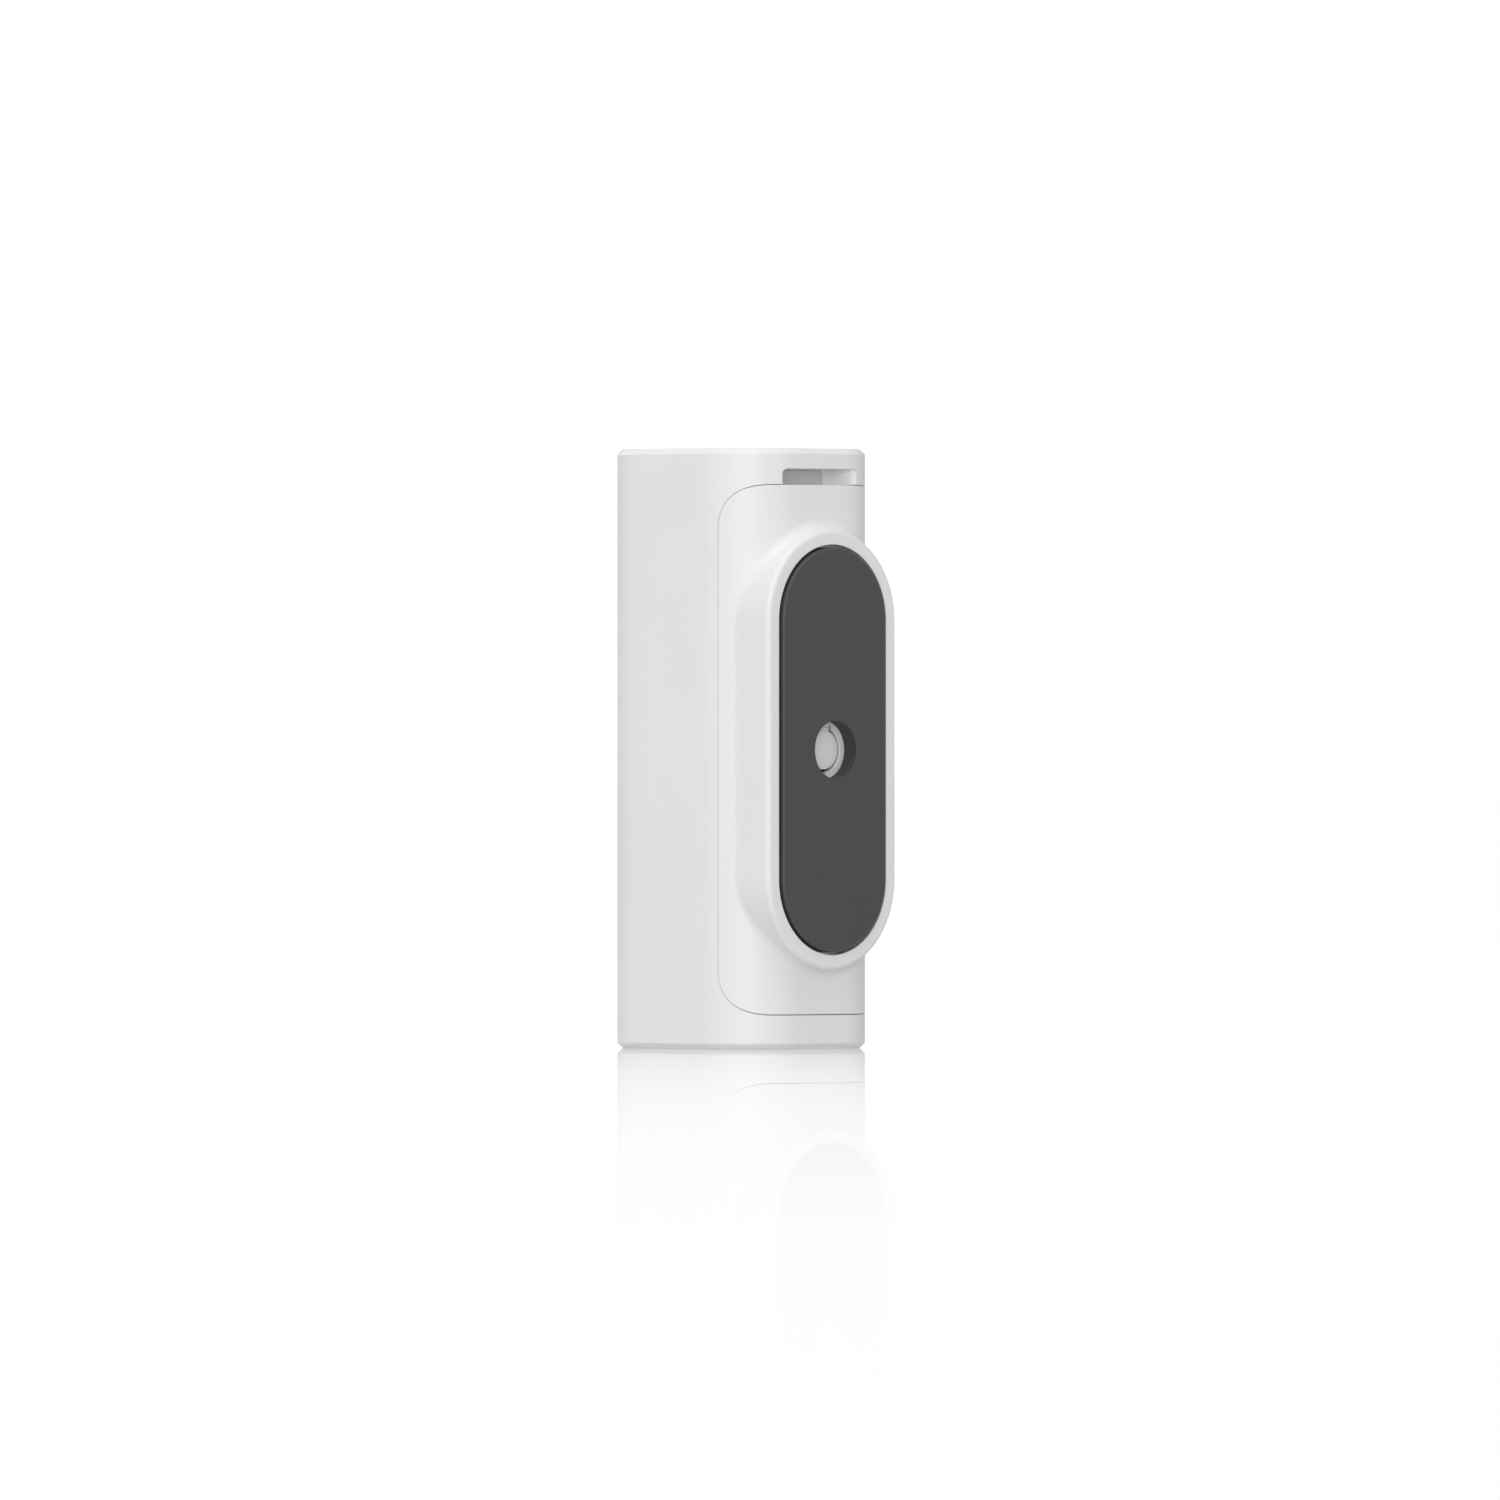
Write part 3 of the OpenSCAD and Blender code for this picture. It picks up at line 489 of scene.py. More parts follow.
def build_housing():
    loops = [raise_outline(plan_outline(inset), "Z", z) for inset, z in outer_profile()]
    shell = loft("housing_shell", loops)
    carve(shell, plan_prism(WALL, WALL, BODY_H - WALL))
    chassis_y = span("battery_tray")[0][1] - 1.6
    screws = islands("chassis_screws")
    for low, high in screws:
        x, z = (low[0] + high[0]) / 2, (low[2] + high[2]) / 2
        wall_y = -plan_y(abs(x) + 1.8, WALL / 2)
        carve(shell, rod(2.6, wall_y, chassis_y, x, z), "UNION")
    seat_y = latch_lo[1] - 3.5
    block_half = NOTCH_HALF + 1.2
    x = np.linspace(block_half, -block_half, 41)
    rear = np.stack([x, plan_y(x, WALL / 2)], 1)
    block = np.concatenate([rear, [(-block_half, seat_y - 1.5), (block_half, seat_y - 1.5)]])
    block_z = COVER_Z + COVER_HALF_H + SEAM - 0.1
    carve(shell, prism("block", block, "Z", block_z, BODY_H - WALL / 2), "UNION")
    carve(shell, prism("opening", cover_opening(), "X", -BODY_HALF_W - 1, BODY_HALF_W + 1))
    carve(shell, notch_cutter())
    carve(shell, prism("pocket", latch_outline(LATCH_GAP), "Y", seat_y, NOTCH_Y + 0.01))
    ledge = prism("ledge", pill_outline(FASCIA_HALF + FASCIA_GAP, FASCIA_STRAIGHT, FASCIA_Z), "Y",
                  -BODY_HALF_D - 1, SIDE_Y)
    carve(ledge, plan_prism(LEDGE_DEPTH, 1, BODY_H - 1))
    carve(shell, ledge)
    window = pill_outline(FASCIA_HALF + FASCIA_GAP - LEDGE_W, FASCIA_STRAIGHT, FASCIA_Z)
    carve(shell, prism("window", window, "Y", -BODY_HALF_D - 1, SIDE_Y))
    for low, high in screws:
        carve(shell, rod(1.22, chassis_y - 9, chassis_y + 1, (low[0] + high[0]) / 2, (low[2] + high[2]) / 2))
    return shell


# ---- Rear cover, pad, flap and latch ----


def build_cover():
    edge_r = 0.25
    lip_r = 0.18
    # Flap hole, recess floor, recess wall
    start, end = raised(circle_xz(FLAP_HOLE_R + 0.12), RECESS_Y), raised(pill_xz(RECESS_HALF), RECESS_Y)
    loops = [raised(circle_xz(FLAP_HOLE_R), RECESS_Y - 0.12), start, *between(start, end, 8), end]
    for inset, depth in reversed(arc_pairs(edge_r, 4)):
        loops.append(raised(pill_xz(RECESS_HALF + edge_r - inset), RIM_Y - depth))
    # Rim face and its outer fillet
    for inset, depth in arc_pairs(BOSS_FILLET, 10):
        loops.append(raised(pill_xz(BOSS_HALF - inset), RIM_Y - depth))
    # Wall, blend and the cover's skin
    blend, foot = blend_loops(12)
    loops += between(loops[-1], blend[0], 4)
    loops += blend
    edge = cover_edge(lip_r, 0)
    loops += [on_plan(foot + (edge - foot) * t, 0) for t in np.linspace(0, 1, 26)[1:-1]]
    for inset, depth in arc_pairs(lip_r, 4):
        loops.append(on_plan(cover_edge(inset, depth), depth))
    # Seam wall and the inside
    for depth in (0.8, 1.5, WALL):
        loops.append(on_plan(cover_edge(0, depth), depth))
    hollow = pill_xz(BOSS_HALF - WALL)
    hollow_sz = np.stack([arc_length(hollow[:, 0], plan_y(hollow[:, 0], WALL)), hollow[:, 1]], 1)
    edge = cover_edge(0, WALL)
    loops += [on_plan(edge + (hollow_sz - edge) * t, WALL) for t in np.linspace(0, 1, 14)[1:]]
    inner_y = RECESS_Y - FLOOR_T
    start, end = raised(hollow, inner_y), raised(circle_xz(FLAP_HOLE_R), inner_y)
    loops += [start, *between(start, end, 5), end]
    cover = ring_mesh("rear_cover_shell", loops)
    # Locating pegs and the lip under the release notch
    peg_tip = cover_lo[1]
    top = COVER_Z + COVER_HALF_H
    in_wall = BODY_HALF_D - WALL / 2
    peg = [(0, peg_tip), (PEG_R - 0.3, peg_tip), (PEG_R, peg_tip + 0.5), (PEG_R, in_wall), (0, in_wall)]
    for z in (COVER_Z - COVER_HALF_H - SEAM + 6.5, top + SEAM - 8.5):
        carve(cover, turned("peg", peg, (0, z), steps=48), "UNION")
    lip = box("lip", (-NOTCH_HALF, NOTCH_Y - 1.2, top - 1.8), (NOTCH_HALF, in_wall, top - 0.1))
    carve(cover, lip, "UNION")
    # Tool slot under the flap and a relief hole at each side of its hinge
    slots = [(1.2, 0, 0.1 - FLAP_R), (0.45, -1.95, FLAP_HOLE_R - 0.15), (0.45, 1.95, FLAP_HOLE_R - 0.15)]
    for radius, x, z in slots:
        carve(cover, rod(radius, RECESS_Y - FLOOR_T - 1, RECESS_Y + 0.5, x, COVER_Z + z))
    return cover


def build_pad():
    edge_r = 0.75
    hole_r = 0.45
    loops = [raised(circle_xz(PAD_HOLE_R), RECESS_Y + 0.02)]
    for inset, depth in reversed(arc_pairs(hole_r, 4)):
        loops.append(raised(circle_xz(PAD_HOLE_R + hole_r - inset), PAD_Y - depth))
    start, end = loops[-1], raised(pill_xz(PAD_HALF - edge_r), PAD_Y)
    loops += between(start, end, 10)
    for inset, depth in arc_pairs(edge_r, 6):
        loops.append(raised(pill_xz(PAD_HALF - inset), PAD_Y - depth))
    loops.append(raised(pill_xz(PAD_HALF), RECESS_Y + 0.02))
    return ring_mesh("wall_pad_rubber", loops)


def build_flap():
    """Round flap on a short hinge tab, with the peg that holds the tamper switch down."""
    front, back = RECESS_Y - 1.2, RECESS_Y
    disc = [(0, front)] + [(r, 2 * front - y) for r, y in round_edge(FLAP_R, front, 0.12, 1)]
    disc += list(reversed(round_edge(FLAP_R, back, 0.2, 1))) + [(0, back)]
    flap = turned("tamper_flap_disc", disc, (0, COVER_Z))
    tab_top = FLAP_HOLE_R - 0.05
    reach = math.degrees(math.acos(1.6 / tab_top))
    tab = np.concatenate([arc(0, COVER_Z, tab_top, reach, 180 - reach, 16),
                          [(-1.6, COVER_Z + 3.2), (1.6, COVER_Z + 3.2)]])
    carve(flap, prism("tab", tab, "Y", front + 0.05, back - 0.12), "UNION")
    tip = flap_lo[1] + 0.04
    peg = [(0, tip), (PEG_R - 0.3, tip), (PEG_R, tip + 0.3), (PEG_R, front + 0.4), (0, front + 0.4)]
    carve(flap, turned("peg", peg, (0, COVER_Z), steps=48), "UNION")
    return flap


def build_latch():
    latch = prism("release_latch_slider", latch_outline(0), "Y", latch_lo[1], latch_hi[1])
    soften(latch, 0.12)
    spring_lo, spring_hi = span("latch_spring")
    bore_z = (spring_lo[2] + spring_hi[2]) / 2
    carve(latch, rod(1.1, latch_lo[1] - 1, NOTCH_Y - 1.2, 0, bore_z))
    return latch


# ---- Front ----


def middle(node):
    """Centre of a CAD node in the front view, its half width, and its front and rear."""
    low, high = span(node)
    return ((low[0] + high[0]) / 2, (low[2] + high[2]) / 2), (high[0] - low[0]) / 2, low[1], high[1]


def build_fascia():
    fascia = prism("front_fascia_gloss", pill_outline(FASCIA_HALF, FASCIA_STRAIGHT, FASCIA_Z), "Y",
                   -BODY_HALF_D - 1, SIDE_Y)
    carve(fascia, plan_prism(0, 0, BODY_H), "INTERSECT")
    carve(fascia, plan_prism(FASCIA_T, 0.5, BODY_H - 0.5))
    centre, radius, front, rear = middle("camera_window")
    carve(fascia, rod(radius + 0.1, front - 1, rear, *centre))
    carve(fascia, rod(radius - 0.9, front - 1, rear + 4, *centre))
    centre, radius, front, rear = middle("pir_lens")
    carve(fascia, rod(radius - 0.9, front - 1, rear, *centre))
    centre, radius, front, rear = middle("light_ring")
    carve(fascia, rod(radius - 1, front - 1, rear, *centre))
    centre, radius, front, rear = middle("microphone")
    carve(fascia, rod(0.6, -BODY_HALF_D - 1, front, *centre))
    for low, high in islands("ir_windows"):
        carve(fascia, rod(1.7, low[1] - 1, high[1] + 1, (low[0] + high[0]) / 2, (low[2] + high[2]) / 2))
    centre, radius, front, rear = middle("speaker_gasket")
    for i in range(-2, 3):
        slot = pill_outline(0.45, 9.0, 0, 10)[:, ::-1] + (0, centre[1] + 2.2 * i)
        carve(fascia, prism("slot", slot, "Y", -BODY_HALF_D - 1, front + 1))
    soften(fascia, 0.12, angle=50)
    return fascia


def build_window():
    centre, radius, front, rear = middle("camera_window")
    profile = [(0, front)] + round_edge(radius, front, 0.15, -1) + [(radius, rear), (0, rear)]
    return turned("camera_window_glass", profile, centre)


def build_lens():
    centre, radius, front, rear = middle("lens_glass")
    ball = 9.0
    dome = [(r, front + ball - math.sqrt(ball ** 2 - r ** 2)) for r in np.linspace(0, radius, 14)]
    return turned("camera_lens", dome + [(radius, rear), (0, rear)], centre)


def build_motion_lens():
    """Milky lens whose face carries fine concentric grooves."""
    centre, flange, front, rear = middle("pir_lens")
    radius = flange - 1
    pitch = 0.76
    face = [(0, front + 0.02)]
    for start in np.arange(0.8, radius - pitch, pitch):
        face += [(start, front + 0.16), (start + 0.06, front + 0.02), (start + pitch - 0.06, front + 0.12)]
    face += round_edge(radius, front + 0.02, 0.25, -1)
    inner = radius - 0.6
    flange_y = rear - PIR_FLANGE_T
    face += [(radius, flange_y), (flange, flange_y), (flange, rear), (inner, rear)]
    face += [(inner, front + 0.7), (0, front + 0.7)]
    return turned("motion_lens_milky", face, centre)


def build_light_ring():
    centre, flange, front, rear = middle("light_ring")
    radius = flange - RING_FLANGE
    bore = radius - RING_W
    flange_y = span("pir_lens")[1][1] - PIR_FLANGE_T + 0.3
    flange_end = flange_y + FLANGE_T
    inner_edge = [(2 * bore - r, y) for r, y in reversed(round_edge(bore, front, 0.3, -1))]
    profile = inner_edge + round_edge(radius, front, 0.3, -1)
    profile += [(radius, flange_y), (flange, flange_y), (flange, flange_end), (radius, flange_end)]
    profile += [(radius, rear), (bore, rear)]
    return turned("light_ring_pipe", profile, centre, closed=True, steps=128)


def build_button():
    """Dished bell button with a soft edge, a flange behind the light ring and a stem."""
    centre, flange, front, rear = middle("bell_button")
    radius = middle("light_ring")[1] - RING_FLANGE - RING_W - 0.15
    dish_r = 56.0
    stem_r = 2
    edge_depth = math.sqrt(dish_r ** 2 - radius ** 2)
    radii = np.linspace(0, radius - 0.35, 24)
    face = [(r, front + math.sqrt(dish_r ** 2 - r ** 2) - edge_depth) for r in radii]
    flange_y = middle("light_ring")[3] + 0.3
    flange_end = flange_y + FLANGE_T
    profile = face + round_edge(radius, front + 0.02, 0.33, -1)
    profile += [(radius, flange_y), (flange, flange_y), (flange, flange_end)]
    profile += [(stem_r, flange_end), (stem_r, rear), (0, rear)]
    return turned("bell_button_cap", profile, centre, steps=128)


def build_ir_windows():
    discs = []
    for low, high in islands("ir_windows"):
        radius = (high[0] - low[0]) / 2
        profile = [(0, low[1])] + round_edge(radius, low[1], 0.15, -1) + [(radius, high[1]), (0, high[1])]
        discs.append(turned("disc", profile, ((low[0] + high[0]) / 2, (low[2] + high[2]) / 2), steps=64))
    return join("night_vision_windows", discs)


# ---- Fasteners, springs and cells ----

SCREWS = [("chassis_screws", 1, 1.4, 1.2), ("board_screws", -1, 0.9, 0.8), ("tray_screws", 1, 1.0, 0.9)]
SPRINGS = [
    ("battery_spring_coils", "battery_springs", 0.35, 4, "Z"),
    ("latch_spring_coil", "latch_spring", 0.15, 8, "Y"),
]


def build_screws(name, node, towards, head_h, shank_r):
    """Pan-head screws with a cross recess; the heads look towards +Y (1) or -Y (-1)."""
    screws = []
    for low, high in islands(node):
        centre = ((low[0] + high[0]) / 2, (low[2] + high[2]) / 2)
        radius = (high[0] - low[0]) / 2
        top, tip = (high[1], low[1]) if towards > 0 else (low[1], high[1])
        seat = top - towards * head_h
        dome = [(radius * math.sin(a), seat + towards * head_h * (0.45 + 0.55 * math.cos(a)))
                for a in np.linspace(math.pi / 2, 0, 9)]
        shank = [(0, tip), (shank_r * 0.5, tip), (shank_r, tip + towards * 0.6), (shank_r, seat)]
        shank.append((radius, seat))
        screw = turned("screw", shank + dome, centre, steps=32)
        for wide, tall in ((0.22, 0.95), (0.95, 0.22)):
            reach = (radius * wide * 0.62, radius * tall * 0.62)
            ys = sorted((top - towards * head_h * 0.55, top + towards))
            carve(screw, box("recess", (centre[0] - reach[0], ys[0], centre[1] - reach[1]),
                             (centre[0] + reach[0], ys[1], centre[1] + reach[1])))
        screws.append(screw)
    return join(name, screws)


def build_springs(name, node, wire_r, turns, axis):
    """Round-wire coils that fill each solid's box, along an axis."""
    first, second, along = AXES[axis]
    per_turn, sides = 36, 10
    coils = []
    for low, high in islands(node):
        radius = (high[first] - low[first]) / 2 - wire_r
        centre = (low + high) / 2
        steps = per_turn * turns
        rise = (high[along] - low[along] - 2 * wire_r) / steps
        points = []
        for i in range(steps + 1):
            a = 2 * math.pi * i / per_turn
            for b in np.linspace(0, 2 * math.pi, sides, endpoint=False):
                point = np.zeros(3)
                reach = radius + wire_r * math.cos(b)
                point[first] = centre[first] + reach * math.cos(a)
                point[second] = centre[second] + reach * math.sin(a)
                point[along] = low[along] + wire_r + i * rise + wire_r * math.sin(b)
                points.append(point)
        points = np.array(points).reshape(steps + 1, sides, 3)
        coils.append(loft("coil", list(points)))
    return join(name, coils)


CELL_NUB = 1.0


def build_cells():
    """Wrapped cells: sleeve with rolled ends, flat base, raised contact."""
    cells = []
    for low, high in islands("battery_cells"):
        centre = ((low[0] + high[0]) / 2, (low[1] + high[1]) / 2)
        radius = (high[0] - low[0]) / 2
        base, top, tip = low[2], high[2] - CELL_NUB, high[2]
        profile = [(0, base + 0.1), (radius - 1.7, base + 0.1), (radius - 1.5, base + 0.02)]
        profile += [(radius - 0.6, base), (radius - 0.15, base + 0.15), (radius, base + 0.6)]
        groove_r = radius - 0.18
        profile += [(radius, top - 2.6), (groove_r, top - 2.2), (groove_r, top - 1.8), (radius, top - 1.4)]
        profile += [(radius, top - 0.5), (radius - 0.2, top - 0.1), (radius - 0.7, top), (radius - 1.5, top)]
        profile += [(radius - 1.7, top - 0.3), (4.4, top - 0.3), (4.0, top - 0.1)]
        profile += [(3.2, top), (3.0, tip - 0.25), (2.7, tip), (0, tip)]
        cells.append(turned("cell", profile, centre, axis="Z", steps=72))
    return join("battery_cells_wrapped", cells)


def bare_cell_ends(cells):
    """Gives the uncovered metal of the cells' ends the second material."""
    low, high = span("battery_cells")
    radius = (high[1] - low[1]) / 2
    cell_x, cell_y = high[0] - radius, low[1] + radius
    sleeve_end = radius - 1.6
    inside_sleeve = high[2] - CELL_NUB - 0.35
    for face in cells.data.polygons:
        x, y, z = face.center / MM
        on_end = abs(face.normal.z) > 0.5 or z > inside_sleeve
        if on_end and math.hypot(abs(x) - cell_x, y - cell_y) < sleeve_end:
            face.material_index = 1


# ---- Materials ----


def new_material(name):
    material = bpy.data.materials.new(name)
    material.use_nodes = True
    nodes = material.node_tree.nodes
    return material, nodes, material.node_tree.links, nodes["Principled BSDF"]


def noise(nodes, links, scale, detail=2.0, stretch=(1, 1, 1)):
    """Noise over the object's own coordinates, in features per metre."""
    where = nodes.new("ShaderNodeTexCoord")
    squeeze = nodes.new("ShaderNodeMapping")
    squeeze.inputs["Scale"].default_value = stretch
    links.new(where.outputs["Object"], squeeze.inputs["Vector"])
    texture = nodes.new("ShaderNodeTexNoise")
    texture.inputs["Scale"].default_value = scale
    texture.inputs["Detail"].default_value = detail
    links.new(squeeze.outputs["Vector"], texture.inputs["Vector"])
    return texture.outputs["Fac"]


def blend_colours(nodes, links, factor, dark, light):
    mix = nodes.new("ShaderNodeMix")
    mix.data_type = "RGBA"
    mix.inputs["A"].default_value = (*dark, 1)
    mix.inputs["B"].default_value = (*light, 1)
    links.new(factor, mix.inputs["Factor"])
    return mix.outputs["Result"]


def spread(nodes, links, value, low, high):
    """Maps 0..1 to low..high."""
    ramp = nodes.new("ShaderNodeMapRange")
    ramp.inputs["To Min"].default_value = low
    ramp.inputs["To Max"].default_value = high
    links.new(value, ramp.inputs["Value"])
    return ramp.outputs[0]


def add_bump(nodes, links, shader, height, depth_mm, strength=0.35):
    bump = nodes.new("ShaderNodeBump")
    bump.inputs["Strength"].default_value = strength
    bump.inputs["Distance"].default_value = depth_mm * MM
    links.new(height, bump.inputs["Height"])
    links.new(bump.outputs["Normal"], shader.inputs["Normal"])


def shade(colour, factor):
    return [min(1.0, c * factor) for c in colour]


def moulded(name, colour, roughness, grain=0.004, grain_scale=2600.0, tint=0.02, specular=0.5, coat=0.0,
            glow=0.0):
    """Moulded plastic or rubber: a fine surface texture and a slight, slow change of shade."""
    material, nodes, links, shader = new_material(name)
    shader.inputs["Specular IOR Level"].default_value = specular
    shader.inputs["Coat Weight"].default_value = coat
    shader.inputs["Coat Roughness"].default_value = 0.04
    if glow:
        shader.inputs["Subsurface Weight"].default_value = glow
        shader.inputs["Subsurface Radius"].default_value = (1, 1, 1)
        shader.inputs["Subsurface Scale"].default_value = 0.002
    slow = noise(nodes, links, 38.0, 3.0)
    links.new(blend_colours(nodes, links, slow, shade(colour, 1 - tint), shade(colour, 1 + tint)),
              shader.inputs["Base Color"])
    links.new(spread(nodes, links, noise(nodes, links, 240.0), roughness * 0.92, roughness * 1.08),
              shader.inputs["Roughness"])
    add_bump(nodes, links, shader, noise(nodes, links, grain_scale), grain)
    return material


def metal(name, colour, roughness, stretch=(1, 1, 1)):
    """Plated or drawn metal with a fine brushed unevenness."""
    material, nodes, links, shader = new_material(name)
    shader.inputs["Metallic"].default_value = 1.0
    streaks = noise(nodes, links, 900.0, 3.0, stretch)
    mottled = blend_colours(nodes, links, streaks, shade(colour, 0.9), shade(colour, 1.1))
    links.new(mottled, shader.inputs["Base Color"])
    links.new(spread(nodes, links, streaks, roughness * 0.7, roughness * 1.3), shader.inputs["Roughness"])
    add_bump(nodes, links, shader, streaks, 0.003)
    return material


def circuit_board():
    """Solder mask over fine copper tracks, with small tinned pads."""
    material, nodes, links, shader = new_material("circuit_board")
    where = nodes.new("ShaderNodeTexCoord")
    flat = nodes.new("ShaderNodeSeparateXYZ")
    links.new(where.outputs["Object"], flat.inputs[0])
    plane = nodes.new("ShaderNodeCombineXYZ")
    links.new(flat.outputs["X"], plane.inputs["X"])
    links.new(flat.outputs["Z"], plane.inputs["Y"])
    tracks = nodes.new("ShaderNodeTexBrick")
    tracks.inputs["Scale"].default_value = 420.0
    tracks.inputs["Mortar Size"].default_value = 0.035
    tracks.inputs["Brick Width"].default_value = 1.7
    tracks.inputs["Row Height"].default_value = 0.55
    tracks.inputs["Color1"].default_value = (0.006, 0.055, 0.028, 1)
    tracks.inputs["Color2"].default_value = (0.008, 0.068, 0.034, 1)
    tracks.inputs["Mortar"].default_value = (0.02, 0.14, 0.065, 1)
    links.new(plane.outputs[0], tracks.inputs["Vector"])
    pads = nodes.new("ShaderNodeTexVoronoi")
    pads.inputs["Scale"].default_value = 330.0
    links.new(plane.outputs[0], pads.inputs["Vector"])
    dot = math_node(nodes, links, "LESS_THAN", pads.outputs["Distance"], 0.13)
    mix = nodes.new("ShaderNodeMix")
    mix.data_type = "RGBA"
    mix.inputs["B"].default_value = (0.62, 0.58, 0.48, 1)
    links.new(dot, mix.inputs["Factor"])
    links.new(tracks.outputs["Color"], mix.inputs["A"])
    links.new(mix.outputs["Result"], shader.inputs["Base Color"])
    links.new(math_node(nodes, links, "MULTIPLY", dot, 0.9), shader.inputs["Metallic"])
    shader.inputs["Roughness"].default_value = 0.32
    add_bump(nodes, links, shader, tracks.outputs["Fac"], 0.03, 0.5)
    return material


def from_centre(nodes, links, x, z):
    """Distance from a front-view point, in millimetres."""
    where = nodes.new("ShaderNodeTexCoord")
    away = nodes.new("ShaderNodeMapping")
    away.inputs["Location"].default_value = (-x, 0, -z)
    away.inputs["Scale"].default_value = (1 / MM, 0, 1 / MM)
    links.new(where.outputs["Object"], away.inputs["Vector"])
    length = nodes.new("ShaderNodeVectorMath")
    length.operation = "LENGTH"
    links.new(away.outputs["Vector"], length.inputs[0])
    return length.outputs["Value"]


def lens_with_painted_sheen():
    """Dark glass with a painted sheen of its coating: a blue to violet ring that fades towards a black pupil.
    """
    material, nodes, links, shader = new_material("lens_glass")
    centre, radius = middle("lens_glass")[:2]
    ramp = nodes.new("ShaderNodeValToRGB")
    stops = ramp.color_ramp.elements
    stops[0].position, stops[0].color = 0.28, (0.002, 0.002, 0.004, 1)
    stops[1].position, stops[1].color = 1.0, (0.004, 0.005, 0.008, 1)
    # Painted sheen: the coating's blue to violet reflection, laid into the base colour as a ring.
    for position, colour in ((0.36, (0.03, 0.012, 0.06, 1)), (0.62, (0.012, 0.05, 0.12, 1)),
                             (0.85, (0.01, 0.022, 0.05, 1))):
        stops.new(position).color = colour
    reach = from_centre(nodes, links, *centre)
    links.new(math_node(nodes, links, "DIVIDE", reach, radius), ramp.inputs["Fac"])
    links.new(ramp.outputs["Color"], shader.inputs["Base Color"])
    shader.inputs["Roughness"].default_value = 0.04
    shader.inputs["Coat Weight"].default_value = 1.0
    shader.inputs["Coat Roughness"].default_value = 0.03
    return material


def tinted_glass(name, colour, alpha):
    """Smoked window: see-through, with a faint unevenness in its gloss."""
    material, nodes, links, shader = new_material(name)
    slow = noise(nodes, links, 60.0)
    mottled = blend_colours(nodes, links, slow, shade(colour, 0.9), shade(colour, 1.1))
    links.new(mottled, shader.inputs["Base Color"])
    links.new(spread(nodes, links, slow, 0.03, 0.05), shader.inputs["Roughness"])
    shader.inputs["Alpha"].default_value = alpha
    return material


def flexible_circuit():
    """Amber film with fine parallel copper tracks along its length."""
    material, nodes, links, shader = new_material("copper_flex")
    where = nodes.new("ShaderNodeTexCoord")
    tracks = nodes.new("ShaderNodeTexWave")
    tracks.bands_direction = "X"
    tracks.inputs["Scale"].default_value = 320.0
    links.new(where.outputs["Object"], tracks.inputs["Vector"])
    links.new(blend_colours(nodes, links, tracks.outputs["Fac"], (0.30, 0.10, 0.015), (0.62, 0.27, 0.07)),
              shader.inputs["Base Color"])
    shader.inputs["Roughness"].default_value = 0.28
    add_bump(nodes, links, shader, tracks.outputs["Fac"], 0.02)
    return material


def math_node(nodes, links, operation, value, factor=0.0):
    """One Math node fed by a socket, and its output."""
    node = nodes.new("ShaderNodeMath")
    node.operation = operation
    node.inputs[1].default_value = factor
    links.new(value, node.inputs[0])
    return node.outputs[0]


